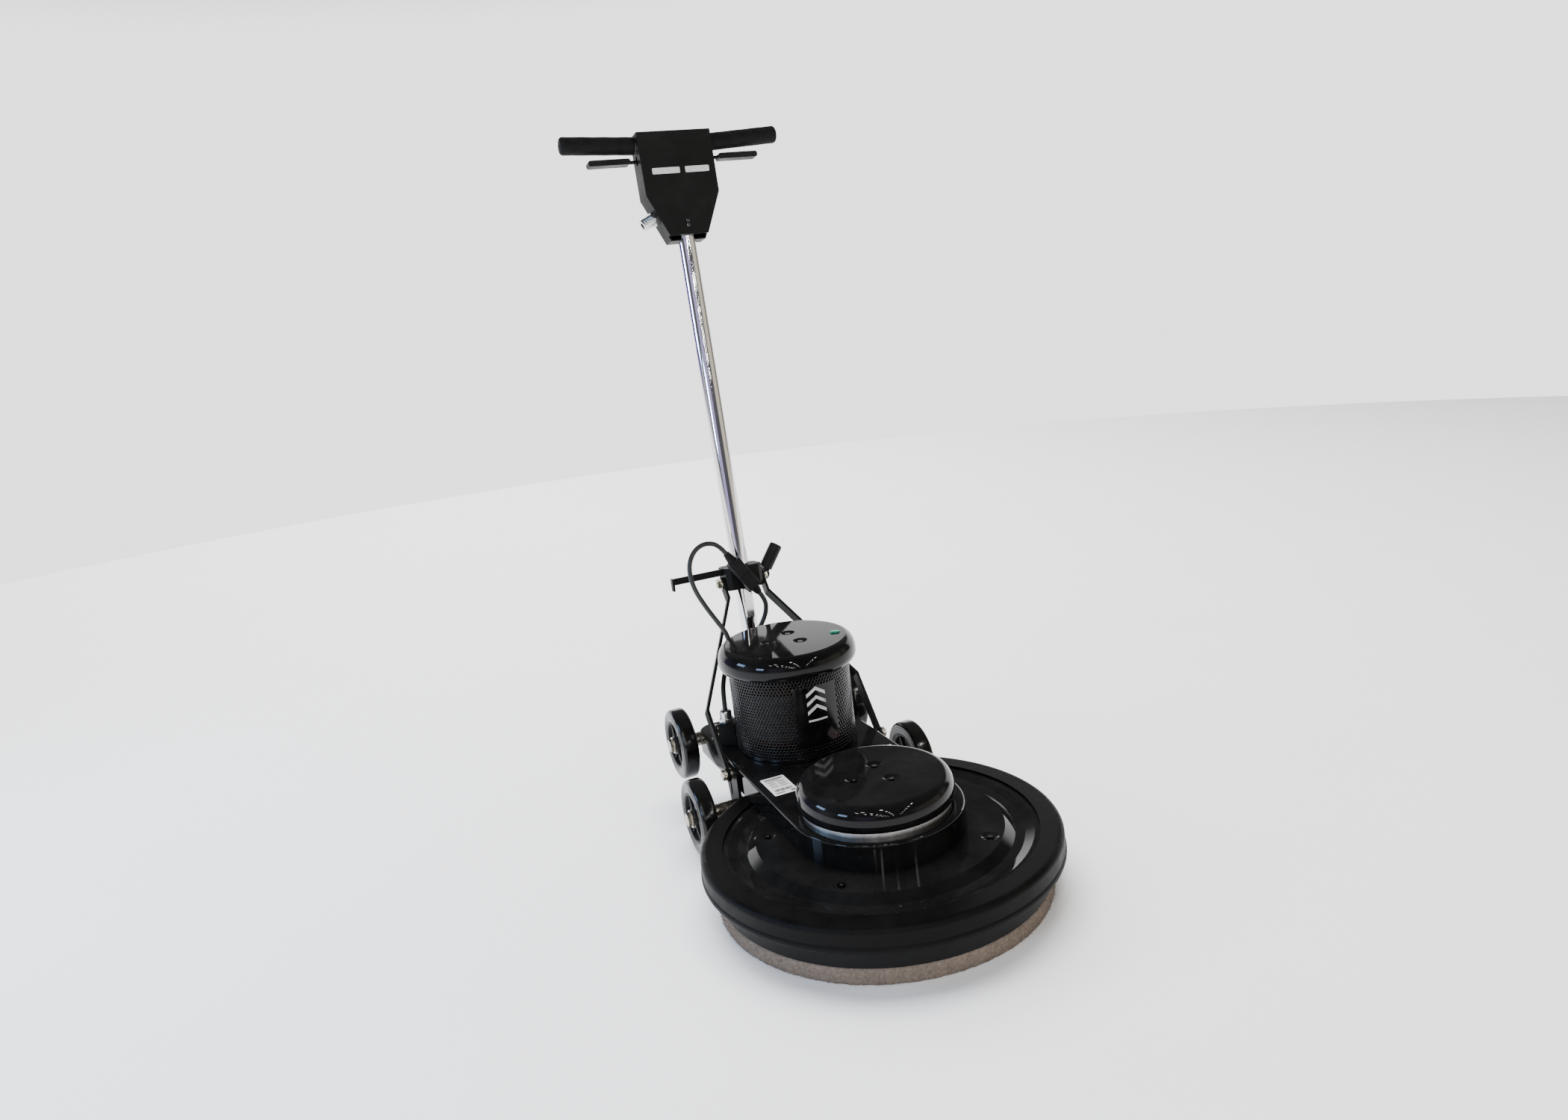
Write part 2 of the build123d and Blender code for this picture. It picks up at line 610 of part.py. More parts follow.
with BuildPart() as motor_gland:
    hex_z(TERMINAL_TOP, TERMINAL_TOP + 6, terminal_x, terminal_y, 13)
    rod_z(TERMINAL_TOP + 6, GLAND_TOP, terminal_x, terminal_y, 10.5)
    fillet(motor_gland.faces().sort_by(Axis.Z)[-1].edges(), 4)
motor_gland.part.label = "motor_gland"
export_step(motor_gland.part, "parts/motor_gland.step")

# ---------------------------------------------------------------- handle pivot and struts
with BuildPart() as handle_bracket:
    ear_x = 22.0
    with BuildSketch(Plane.XY.offset(CHASSIS_TOP)):
        with Locations((0, PIVOT_Y - 13)):
            Rectangle(70, 44)
    extrude(amount=4)
    for x0, x1 in both_sides(ear_x, ear_x + 5):
        with BuildSketch(side_plane(x0, PIVOT_Y, 0)):
            with Locations((0, (CHASSIS_TOP + PIVOT_Z) / 2)):
                Rectangle(32, PIVOT_Z - CHASSIS_TOP)
            with Locations((0, PIVOT_Z)):
                Circle(16)
        extrude(amount=5)
    rod_x(-30, 30, PIVOT_Y, PIVOT_Z, 6.02, Mode.SUBTRACT)
handle_bracket.part.label = "handle_bracket"
export_step(handle_bracket.part, "parts/handle_bracket.step")

with BuildPart() as pivot_bolts:
    rod_x(-34, 34, PIVOT_Y, PIVOT_Z, 6)
    for x0, x1 in both_sides(27.2, 34):
        hex_x(x0, x1, PIVOT_Y, PIVOT_Z, 10.5)
    strut_in = CHASSIS_R + BRACKET_T
    strut_out = STRUT_X + STRUT_T / 2
    for x0, x1 in both_sides(120, strut_out + 3):
        rod_x(x0, x1, STRUT_Y, STRUT_Z, 5)
    for x0, x1 in both_sides(121, CHASSIS_R - CHASSIS_WALL):
        hex_x(x0, x1, STRUT_Y, STRUT_Z, 9)
    for x0, x1 in both_sides(strut_in, STRUT_X - STRUT_T / 2 - 0.3):
        rod_x(x0, x1, STRUT_Y, STRUT_Z, 9)
    for x0, x1 in both_sides(strut_out + 0.3, strut_out + 1.8):
        rod_x(x0, x1, STRUT_Y, STRUT_Z, 10)
    for x0, x1 in both_sides(strut_out + 1.8, strut_out + 8):
        hex_x(x0, x1, STRUT_Y, STRUT_Z, 9)
pivot_bolts.part.label = "pivot_bolts"
export_step(pivot_bolts.part, "parts/pivot_bolts.step")

yoke_pin = on_stem(0, 0, YOKE_U)
strut_reach = hypot(yoke_pin[1] - STRUT_Y, yoke_pin[2] - STRUT_Z)
strut_dir = ((yoke_pin[1] - STRUT_Y) / strut_reach, (yoke_pin[2] - STRUT_Z) / strut_reach)
STRUT_BEND_LOW = 115.0
STRUT_BEND_HIGH = 312.0


def strut(side):
    """Flat bar joggled inwards between its two eyes; side is -1 or 1."""
    half = STRUT_T / 2
    slope = atan2(STRUT_X - STRUT_TOP_X, STRUT_BEND_HIGH - STRUT_BEND_LOW)
    shift = half * tan(slope / 2)
    plane = Plane(
        origin=(0, STRUT_Y, STRUT_Z), x_dir=(1, 0, 0), z_dir=(0, -strut_dir[1], strut_dir[0])
    )
    outer = [
        (STRUT_X + half, 0), (STRUT_X + half, STRUT_BEND_LOW + shift),
        (STRUT_TOP_X + half, STRUT_BEND_HIGH + shift), (STRUT_TOP_X + half, strut_reach),
    ]
    inner = [
        (STRUT_TOP_X - half, strut_reach), (STRUT_TOP_X - half, STRUT_BEND_HIGH - shift),
        (STRUT_X - half, STRUT_BEND_LOW - shift), (STRUT_X - half, 0),
    ]
    with BuildSketch(plane) as face:
        with BuildLine():
            Polyline(*[(side * x, y) for x, y in outer + inner], close=True)
        make_face()
    extrude(face.sketch, amount=STRUT_W / 2, both=True)
    for middle, y, z, eye, hole in (
        (STRUT_X, STRUT_Y, STRUT_Z, 12, 5 + FIT),
        (STRUT_TOP_X, yoke_pin[1], yoke_pin[2], 12, STRUT_EYE_R),
    ):
        low = side * middle - half
        rod_x(low, low + STRUT_T, y, z, eye)
        rod_x(low - 1, low + STRUT_T + 1, y, z, hole, Mode.SUBTRACT)


with BuildPart() as strut_left:
    strut(-1)
strut_left.part.label = "strut_left"
export_step(strut_left.part, "parts/strut_left.step")

with BuildPart() as strut_right:
    strut(1)
strut_right.part.label = "strut_right"
export_step(strut_right.part, "parts/strut_right.step")

# ---------------------------------------------------------------- yoke on the tube
CLAMP_V = 23.5
CAM_X = 50.0
YOKE_LOW = YOKE_U - 13
YOKE_HIGH = YOKE_U + 28
with BuildPart() as yoke:
    with BuildSketch(stem_plane(YOKE_LOW)):
        with BuildLine():
            Polyline(
                (-YOKE_HALF_W, -16), (-YOKE_HALF_W + 8, -24), (YOKE_HALF_W - 8, -24),
                (YOKE_HALF_W, -16), (YOKE_HALF_W, 22), (YOKE_HALF_W - 10, 31),
                (10 - YOKE_HALF_W, 31), (-YOKE_HALF_W, 22), close=True,
            )
        make_face()
        Circle(TUBE_R + 0.33, mode=Mode.SUBTRACT)
        with Locations((0, -16.75)):
            Rectangle(20, 7.5, mode=Mode.SUBTRACT)
        with Locations((0, 24)):
            Rectangle(5, 18, mode=Mode.SUBTRACT)
    extrude(amount=YOKE_HIGH - YOKE_LOW)
    pin_y, pin_z = yoke_pin[1:]
    rod_x(-60, 60, pin_y, pin_z, STRUT_PIN_R + 0.02, Mode.SUBTRACT)
    clamp_y, clamp_z = on_stem(0, CLAMP_V, YOKE_U)[1:]
    rod_x(-60, 60, clamp_y, clamp_z, 4.02, Mode.SUBTRACT)
yoke.part.label = "yoke"
export_step(yoke.part, "parts/yoke.step")

with BuildPart() as yoke_pins:
    for x0, x1 in both_sides(18, 50):
        rod_x(x0, x1, pin_y, pin_z, STRUT_PIN_R)
    strut_cap = STRUT_TOP_X + STRUT_T / 2
    for x0, x1 in both_sides(strut_cap + 0.5, strut_cap + 2):
        rod_x(x0, x1, pin_y, pin_z, 12)
    for x0, x1 in both_sides(strut_cap + 2, strut_cap + 8):
        hex_x(x0, x1, pin_y, pin_z, 7.5)
    rod_x(-42, CAM_X, clamp_y, clamp_z, 4)
    hex_x(-42, -YOKE_HALF_W, clamp_y, clamp_z, 7.5)
    rod_x(YOKE_HALF_W, YOKE_HALF_W + 3, clamp_y, clamp_z, 9)
    rod_v(CLAMP_V - 4, CLAMP_V + 4, CAM_X, YOKE_U, 7)
    rod_v(CLAMP_V - 5, CLAMP_V + 5, CAM_X, YOKE_U, 3 + FIT, Mode.SUBTRACT)
yoke_pins.part.label = "yoke_pins"
export_step(yoke_pins.part, "parts/yoke_pins.step")

HOOK_REACH = 133.0
with BuildPart() as cord_hook:
    hook_t = 4.0
    with BuildSketch(face_plane(hook_t / 2)):
        with BuildLine():
            Polyline(
                (-YOKE_HALF_W, YOKE_U + 15), (-YOKE_HALF_W, YOKE_U + 27), (-HOOK_REACH, YOKE_U + 27),
                (-HOOK_REACH, YOKE_U + 5), (-HOOK_REACH + hook_t, YOKE_U + 5),
                (-HOOK_REACH + hook_t, YOKE_U + 15), close=True,
            )
        make_face()
    extrude(amount=hook_t)
    with BuildSketch(side_plane(-HOOK_REACH, *on_stem(0, 0, YOKE_U + 16)[1:])):
        Rectangle(12, 22)
    extrude(amount=hook_t)
cord_hook.part.label = "cord_hook"
export_step(cord_hook.part, "parts/cord_hook.step")

# The cam turns on a cross pin through the clamp bolt's eye; its grip points up and outwards.
CAM_LEAN = 36.0
with BuildPart() as cam_lever:
    for v0, v1 in ((CLAMP_V - 9, CLAMP_V - 4.3), (CLAMP_V + 4.3, CLAMP_V + 9)):
        rod_v(v0, v1, CAM_X, YOKE_U, 10.5)
    rod_v(CLAMP_V - 9, CLAMP_V + 9, CAM_X, YOKE_U, 3)
    cam_dir = (sin(radians(CAM_LEAN)), cos(radians(CAM_LEAN)))
    grip_plane = Plane(
        origin=on_stem(CAM_X + 13 * cam_dir[0], CLAMP_V, YOKE_U + 13 * cam_dir[1]),
        x_dir=(0, lean_cos, -lean_sin),
        z_dir=(cam_dir[0], cam_dir[1] * lean_sin, cam_dir[1] * lean_cos),
    )
    with BuildSketch(grip_plane):
        Circle(12)
    extrude(amount=48)
    fillet(cam_lever.faces().sort_by(Axis.Z)[-1].edges(), 3)
    with BuildSketch(grip_plane):
        Rectangle(18, 12)
    extrude(amount=-9)
    rod_v(CLAMP_V - 4.3, CLAMP_V + 4.3, CAM_X, YOKE_U, 10.5, Mode.SUBTRACT)
    rod_v(CLAMP_V - 9, CLAMP_V + 9, CAM_X, YOKE_U, 3)
cam_lever.part.label = "cam_lever"
export_step(cam_lever.part, "parts/cam_lever.step")

# ---------------------------------------------------------------- handle tube and controls
with BuildPart() as handle_tube:
    rod_u(20, TUBE_TOP, 0, 0, TUBE_R)
    rod_u(40, TUBE_TOP + 1, 0, 0, TUBE_R - TUBE_WALL, Mode.SUBTRACT)
    rod_x(-21.6, 21.6, PIVOT_Y, PIVOT_Z, 18)
    with BuildSketch(stem_plane(0)):
        Rectangle(2 * TUBE_R, 26)
    extrude(amount=22)
    rod_x(-30, 30, PIVOT_Y, PIVOT_Z, 6 + FIT, Mode.SUBTRACT)
    rod_x(-20, 20, *on_stem(0, 0, BAR_U)[1:], BAR_R + 1.6, Mode.SUBTRACT)
    with BuildSketch(face_plane(-8, 0, 128)):
        SlotOverall(46, 11, rotation=90)
    extrude(amount=12, mode=Mode.SUBTRACT)
handle_tube.part.label = "handle_tube"
export_step(handle_tube.part, "parts/handle_tube.step")

# Flat strip over the tube's wire slot, held by one screw at its rounded foot.
with BuildPart() as tube_strap:
    strap_low = 158.0
    with BuildSketch(face_plane(-13, 0, 0)):
        with Locations((0, 206)):
            SlotOverall(96, 14, rotation=90)
    extrude(amount=6)
    rod_u(140, 270, 0, 0, TUBE_R + 0.01, Mode.SUBTRACT)
    rod_v(-20, -18.9, 0, strap_low + 7, 4)
tube_strap.part.label = "tube_strap"
export_step(tube_strap.part, "parts/tube_strap.step")


def box_outline(foot, inset=0.0):
    """Half-octagon plate: square top, tapered foot. The taper's slope is kept as the foot drops."""
    taper = (BOX_HALF_W - BOX_HALF_FOOT) / (BOX_SHOULDER_U - BOX_BOTTOM_U)
    half_foot = BOX_HALF_FOOT - taper * (BOX_BOTTOM_U - foot)
    slant = inset * (hypot(1, taper) - taper)
    with BuildLine() as edge:
        Polyline(
            (inset - BOX_HALF_W, BOX_TOP_U - inset), (BOX_HALF_W - inset, BOX_TOP_U - inset),
            (BOX_HALF_W - inset, BOX_SHOULDER_U + slant * taper),
            (half_foot - slant, foot + inset), (slant - half_foot, foot + inset),
            (inset - BOX_HALF_W, BOX_SHOULDER_U + slant * taper), close=True,
        )
    make_face(edge.edges())


chamfer_dir = (BOX_HALF_W - BOX_HALF_FOOT, BOX_BOTTOM_U - BOX_SHOULDER_U)
chamfer_len = hypot(*chamfer_dir)
gland_out = (chamfer_dir[1] / chamfer_len, -chamfer_dir[0] / chamfer_len)
gland_x = -(BOX_HALF_W + BOX_HALF_FOOT) / 2
gland_u = (BOX_SHOULDER_U + BOX_BOTTOM_U) / 2


def gland_plane(distance):
    """Square to the box's lower left side, a distance out from it."""
    x = gland_x + gland_out[0] * distance
    u = gland_u + gland_out[1] * distance
    return Plane(
        origin=on_stem(x, 0, u),
        x_dir=(0, lean_cos, -lean_sin),
        z_dir=(gland_out[0], gland_out[1] * lean_sin, gland_out[1] * lean_cos),
    )


def gland_bore(radius, start, length):
    with BuildSketch(gland_plane(start)) as face:
        Circle(radius)
    extrude(face.sketch, amount=length, mode=Mode.SUBTRACT)


with BuildPart() as switch_box_front:
    with BuildSketch(face_plane(BOX_SEAM_V)):
        box_outline(BOX_BOTTOM_U)
    extrude(amount=BOX_SEAM_V - BOX_FRONT_V)
    with BuildSketch(face_plane(BOX_SEAM_V)):
        box_outline(BOX_BOTTOM_U, BOX_T)
    extrude(amount=BOX_SEAM_V - BOX_FRONT_V - BOX_T, mode=Mode.SUBTRACT)
    rod_u(BOX_BOTTOM_U - 20, BOX_BOTTOM_U + 20, 0, 0, TUBE_R + 0.1, Mode.SUBTRACT)
    for u in (868, 876):
        rod_v(BOX_FRONT_V - 1, BOX_FRONT_V + 3, 0, u, 2.05, Mode.SUBTRACT)
switch_box_front.part.label = "switch_box_front"
export_step(switch_box_front.part, "parts/switch_box_front.step")

with BuildPart() as switch_box_back:
    with BuildSketch(face_plane(BOX_BACK_V)):
        box_outline(BOX_LIP_U)
    extrude(amount=BOX_BACK_V - BOX_SEAM_V)
    with BuildSketch(face_plane(BOX_BACK_V - BOX_T)):
        box_outline(BOX_LIP_U, BOX_T)
    extrude(amount=BOX_BACK_V - BOX_SEAM_V, mode=Mode.SUBTRACT)
    rod_u(BOX_LIP_U - 20, BOX_LIP_U + 20, 0, 0, TUBE_R + 0.1, Mode.SUBTRACT)
    bar_side_u = BAR_U + BOX_HALF_W * tan(radians(BAR_RISE))
    rod_x(-90, 90, *on_stem(0, 0, bar_side_u)[1:], BAR_R + 0.6, Mode.SUBTRACT)
    with BuildSketch(side_plane(-90, *on_stem(0, 0, TRIGGER_U + 1.5)[1:])):
        Rectangle(9, 15)
    extrude(amount=180, mode=Mode.SUBTRACT)
    gland_bore(8.9, -8, 10)
switch_box_back.part.label = "switch_box_back"
export_step(switch_box_back.part, "parts/switch_box_back.step")

with BuildPart() as box_pins:
    for u in (868, 876):
        rod_v(BOX_FRONT_V, -TUBE_R - 0.2, 0, u, 2)
        rod_v(BOX_FRONT_V - 1.8, BOX_FRONT_V, 0, u, 3.6)
    for x in (-TRIGGER_X, TRIGGER_X):
        rod_v(BOX_FRONT_V + BOX_T, BOX_BACK_V - BOX_T, x, TRIGGER_U, 3)
box_pins.part.label = "box_pins"
export_step(box_pins.part, "parts/box_pins.step")


def arm_plane(side, distance):
    """Square to one arm of the bar; side is -1 or 1."""
    rise = radians(BAR_RISE)
    return Plane(
        origin=on_stem(side * distance * cos(rise), 0, BAR_U + distance * sin(rise)),
        x_dir=(0, lean_cos, -lean_sin),
        z_dir=(side * cos(rise), sin(rise) * lean_sin, sin(rise) * lean_cos),
    )


with BuildPart() as handlebar:
    for radius, mode in ((BAR_R, Mode.ADD), (BAR_R - TUBE_WALL, Mode.SUBTRACT)):
        for side in (-1, 1):
            with BuildSketch(arm_plane(side, 0)):
                Circle(radius)
            extrude(amount=BAR_HALF - 8, mode=mode)
handlebar.part.label = "handlebar"
export_step(handlebar.part, "parts/handlebar.step")

with BuildPart() as hand_grips:
    for side in (-1, 1):
        with BuildSketch(arm_plane(side, BOX_HALF_W + 2)):
            Circle(GRIP_R)
        extrude(amount=BAR_HALF - BOX_HALF_W - 2)
    for side in (-1, 1):
        end = hand_grips.faces().sort_by(Axis.X)[0 if side < 0 else -1]
        fillet(end.edges(), 5)
    for side in (-1, 1):
        with BuildSketch(arm_plane(side, 0)):
            Circle(BAR_R + 0.02)
        extrude(amount=BAR_HALF - 7.9, mode=Mode.SUBTRACT)
hand_grips.part.label = "hand_grips"
export_step(hand_grips.part, "parts/hand_grips.step")

with BuildPart() as line_switches:
    for side in (-1, 1):
        with BuildSketch(face_plane(14, side * 29.5, 951)):
            Rectangle(21, 44)
        extrude(amount=28)
line_switches.part.label = "line_switches"
export_step(line_switches.part, "parts/line_switches.step")


def trigger(side):
    """Eye on its pin in the box, a thin rod out through the side, and a flat paddle."""
    rod_v(-4, 4, side * TRIGGER_X, TRIGGER_U, 7)
    start = side * TRIGGER_X if side > 0 else -85
    rod_x(start, start + 37, *on_stem(0, 0, TRIGGER_U)[1:], 3)
    with BuildSketch(face_plane(10, side * 118, TRIGGER_U)) as face:
        RectangleRounded(74, 10, 4)
    extrude(face.sketch, amount=20)
    rod_v(-10, 10, side * TRIGGER_X, TRIGGER_U, 3 + FIT, Mode.SUBTRACT)


with BuildPart() as left_trigger:
    trigger(-1)
left_trigger.part.label = "left_trigger"
export_step(left_trigger.part, "parts/left_trigger.step")

with BuildPart() as right_trigger:
    trigger(1)
right_trigger.part.label = "right_trigger"
export_step(right_trigger.part, "parts/right_trigger.step")

with BuildPart() as power_gland:
    with BuildSketch(gland_plane(-6)):
        Circle(8.88)
    extrude(amount=6)
    with BuildSketch(gland_plane(0)):
        RegularPolygon(14, 6)
    extrude(amount=6)
    with BuildSketch(gland_plane(6)):
        Circle(GLAND_R)
    extrude(amount=GLAND_L - 6)
    gland_bore(GLAND_BORE_R, -7, GLAND_L + 8)
power_gland.part.label = "power_gland"
export_step(power_gland.part, "parts/power_gland.step")

# ---------------------------------------------------------------- leads and their connector
CONNECTOR_TILT = 32.0
plug_dir = (-sin(radians(CONNECTOR_TILT)), cos(radians(CONNECTOR_TILT)))


def connector_plane(distance):
    """Square to the inline connector's axis; distance grows up and to the left."""
    x = CONNECTOR_X + plug_dir[0] * distance
    u = CONNECTOR_U + plug_dir[1] * distance
    return Plane(
        origin=on_stem(x, CONNECTOR_V, u),
        x_dir=(0, lean_cos, -lean_sin),
        z_dir=(plug_dir[0], plug_dir[1] * lean_sin, plug_dir[1] * lean_cos),
    )


def connector_half(start, tip):
    """Moulded body from the middle out, then a round boot that narrows to the lead."""
    way = 1 if tip > start else -1
    body_end = way * CONNECTOR_HALF
    with BuildSketch(connector_plane(start)) as face:
        RectangleRounded(21, 25, 4)
    extrude(face.sketch, amount=body_end - start)
    with BuildSketch(connector_plane(body_end)) as wide:
        Circle(9)
    with BuildSketch(connector_plane(tip)) as narrow:
        Circle(5.5)
    loft([wide.sketch, narrow.sketch])


with BuildPart() as connector_plug:
    connector_half(0.2, BOOT_UP)
connector_plug.part.label = "connector_plug"
export_step(connector_plug.part, "parts/connector_plug.step")

with BuildPart() as connector_socket:
    connector_half(-0.2, -BOOT_DOWN)
connector_socket.part.label = "connector_socket"
export_step(connector_socket.part, "parts/connector_socket.step")


def cord_radii(route):
    """One bend radius for each inner point: the largest that its two runs allow."""
    radii = []
    for before, here, after in zip(route, route[1:], route[2:]):
        run_in = Vector(*here) - Vector(*before)
        run_out = Vector(*after) - Vector(*here)
        turn = radians(run_in.get_angle(run_out))
        radii.append(0.45 * min(run_in.length, run_out.length) / tan(turn / 2))
    return radii


def cord(name, route):
    """Round tube along straight runs and tangent arcs; prints its radii, length and volume."""
    radii = cord_radii(route)
    with BuildLine() as line:
        FilletPolyline(*route, radius=radii)
    path = line.wire()
    with BuildSketch(Plane(origin=path @ 0, z_dir=path % 0)) as face:
        Circle(LEAD_R)
    sweep(face.sketch, path=path)
    length = path.length
    print(name, "radii", [round(r, 1) for r in radii], "length", round(length, 1))
    return length


MOTOR_LEAD_ROUTE = [
    (-35.3, 455.3, 451.1), (-45.7, 457.1, 467.7), (-68, 453, 477), (-91, 448, 472),
    (-107, 443, 454), (-112, 439, 430), (-108, 434, 402), (-96, 428, 373), (-81, 421, 344),
    (-66, 408, 315), (-65, 407, 286), (-80, 398, 261), (-94, 382, 243), (-102.3, 366.4, 222),
    (-102.3, 366.4, 196.1),
]
SWITCH_LEAD_ROUTE = [
    (15.8, 446.8, 369.8), (25.6, 445.1, 354.3), (25.2, 446.8, 332), (16, 448.5, 312),
    (5, 452, 297), (0, 459, 284.5), (0, 470, 274),
]
with BuildPart() as motor_lead:
    motor_lead_length = cord("motor_lead", MOTOR_LEAD_ROUTE)
print("motor_lead volume", motor_lead.part.volume, "expected", pi * LEAD_R**2 * motor_lead_length)
motor_lead.part.label = "motor_lead"
export_step(motor_lead.part, "parts/motor_lead.step")

with BuildPart() as switch_lead:
    switch_lead_length = cord("switch_lead", SWITCH_LEAD_ROUTE)
print("switch_lead volume", switch_lead.part.volume, "expected", pi * LEAD_R**2 * switch_lead_length)
switch_lead.part.label = "switch_lead"
export_step(switch_lead.part, "parts/switch_lead.step")

# ---------------------------------------------------------------- wheels
with BuildPart() as front_left_wheel:
    wheel(-FRONT_WHEEL_X - WHEEL_W, FRONT_WHEEL_Y, WHEEL_R)
front_left_wheel.part.label = "front_left_wheel"
export_step(front_left_wheel.part, "parts/front_left_wheel.step")

with BuildPart() as front_right_wheel:
    wheel(FRONT_WHEEL_X, FRONT_WHEEL_Y, WHEEL_R)
front_right_wheel.part.label = "front_right_wheel"
export_step(front_right_wheel.part, "parts/front_right_wheel.step")

with BuildPart() as rear_left_wheel:
    wheel(-REAR_WHEEL_X - WHEEL_W, REAR_WHEEL_Y, REAR_WHEEL_Z)
rear_left_wheel.part.label = "rear_left_wheel"
export_step(rear_left_wheel.part, "parts/rear_left_wheel.step")

with BuildPart() as rear_right_wheel:
    wheel(REAR_WHEEL_X, REAR_WHEEL_Y, REAR_WHEEL_Z)
rear_right_wheel.part.label = "rear_right_wheel"
export_step(rear_right_wheel.part, "parts/rear_right_wheel.step")
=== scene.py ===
import math
import random

import bmesh
import bpy
from mathutils import Matrix, Vector


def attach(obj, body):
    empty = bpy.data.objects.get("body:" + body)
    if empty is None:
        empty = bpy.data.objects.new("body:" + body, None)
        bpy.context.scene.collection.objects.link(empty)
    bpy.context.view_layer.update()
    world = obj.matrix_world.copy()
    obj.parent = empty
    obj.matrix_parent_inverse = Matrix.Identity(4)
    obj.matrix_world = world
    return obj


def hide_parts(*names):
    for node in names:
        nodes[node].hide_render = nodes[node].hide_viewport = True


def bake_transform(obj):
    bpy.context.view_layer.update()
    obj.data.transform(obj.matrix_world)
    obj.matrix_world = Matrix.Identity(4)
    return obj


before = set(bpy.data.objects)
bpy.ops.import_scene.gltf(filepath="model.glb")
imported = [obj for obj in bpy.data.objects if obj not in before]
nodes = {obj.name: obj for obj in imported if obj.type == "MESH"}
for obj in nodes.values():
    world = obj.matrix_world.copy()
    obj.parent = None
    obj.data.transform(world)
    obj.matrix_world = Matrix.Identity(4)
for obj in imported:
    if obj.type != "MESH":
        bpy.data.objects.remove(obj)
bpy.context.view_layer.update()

scene = bpy.context.scene
MM = 0.001

# ---------------------------------------------------------------- camera
CAM_AZIMUTH = math.radians(-21.0)
CAM_ELEVATION = math.radians(12.8)
CAM_ROLL = math.radians(6.8)
CAM_TARGET = Vector((0.0, 0.2607, 0.4645))
CAM_DISTANCE = 1.777
CAM_LENS = 24.86


def add_camera():
    back = Vector((
        math.sin(CAM_AZIMUTH) * math.cos(CAM_ELEVATION),
        -math.cos(CAM_AZIMUTH) * math.cos(CAM_ELEVATION),
        math.sin(CAM_ELEVATION),
    ))
    right = (-back).cross(Vector((0, 0, 1))).normalized()
    up = right.cross(-back)
    side = math.cos(CAM_ROLL) * right - math.sin(CAM_ROLL) * up
    top = math.sin(CAM_ROLL) * right + math.cos(CAM_ROLL) * up
    data = bpy.data.cameras.new("photo_camera")
    data.lens = CAM_LENS
    data.sensor_width = 36.0
    data.clip_start = 0.05
    camera = bpy.data.objects.new("photo_camera", data)
    turn = Matrix((side, top, back)).transposed().to_4x4()
    camera.matrix_world = Matrix.Translation(CAM_TARGET + back * CAM_DISTANCE) @ turn
    scene.collection.objects.link(camera)
    scene.camera = camera


add_camera()


# ---------------------------------------------------------------- materials
def surface(
    name, color, rough, metal=0.0, coat=0.0, spec=0.5, grain=0.1, scale=600.0,
    depth=0.0002, spread=0.08, tint=None, tint_scale=14.0, stretch=(1, 1, 1),
):
    """Principled shader with uneven colour and roughness and a fine procedural relief."""
    mat = bpy.data.materials.new(name)
    mat.use_nodes = True
    tree = mat.node_tree
    make, link = tree.nodes.new, tree.links.new
    shader = tree.nodes["Principled BSDF"]
    shader.inputs["Metallic"].default_value = metal
    shader.inputs["Coat Weight"].default_value = coat
    shader.inputs["Coat Roughness"].default_value = 0.06
    shader.inputs["Specular IOR Level"].default_value = spec
    coords = make("ShaderNodeTexCoord")
    mapping = make("ShaderNodeMapping")
    mapping.inputs["Scale"].default_value = stretch
    link(coords.outputs["Object"], mapping.inputs["Vector"])

    broad = make("ShaderNodeTexNoise")
    broad.inputs["Scale"].default_value = tint_scale
    broad.inputs["Detail"].default_value = 6.0
    broad.inputs["Roughness"].default_value = 0.65
    link(mapping.outputs["Vector"], broad.inputs["Vector"])
    worn = make("ShaderNodeMapRange")
    worn.inputs["From Min"].default_value = 0.35
    worn.inputs["From Max"].default_value = 0.75
    link(broad.outputs["Fac"], worn.inputs["Value"])
    mix = make("ShaderNodeMix")
    mix.data_type = "RGBA"
    mix.inputs["A"].default_value = (*color, 1)
    mix.inputs["B"].default_value = (*(tint or [1.35 * c + 0.002 for c in color]), 1)
    link(worn.outputs["Result"], mix.inputs["Factor"])
    link(mix.outputs["Result"], shader.inputs["Base Color"])

    sheen = make("ShaderNodeMapRange")
    sheen.inputs["From Min"].default_value = 0.3
    sheen.inputs["From Max"].default_value = 0.7
    sheen.inputs["To Min"].default_value = max(rough - spread, 0.02)
    sheen.inputs["To Max"].default_value = rough + spread
    link(broad.outputs["Fac"], sheen.inputs["Value"])
    link(sheen.outputs["Result"], shader.inputs["Roughness"])

    fine = make("ShaderNodeTexNoise")
    fine.inputs["Scale"].default_value = scale
    fine.inputs["Detail"].default_value = 4.0
    link(mapping.outputs["Vector"], fine.inputs["Vector"])
    bump = make("ShaderNodeBump")
    bump.inputs["Strength"].default_value = grain
    bump.inputs["Distance"].default_value = depth
    link(fine.outputs["Fac"], bump.inputs["Height"])
    link(bump.outputs["Normal"], shader.inputs["Normal"])
    return mat


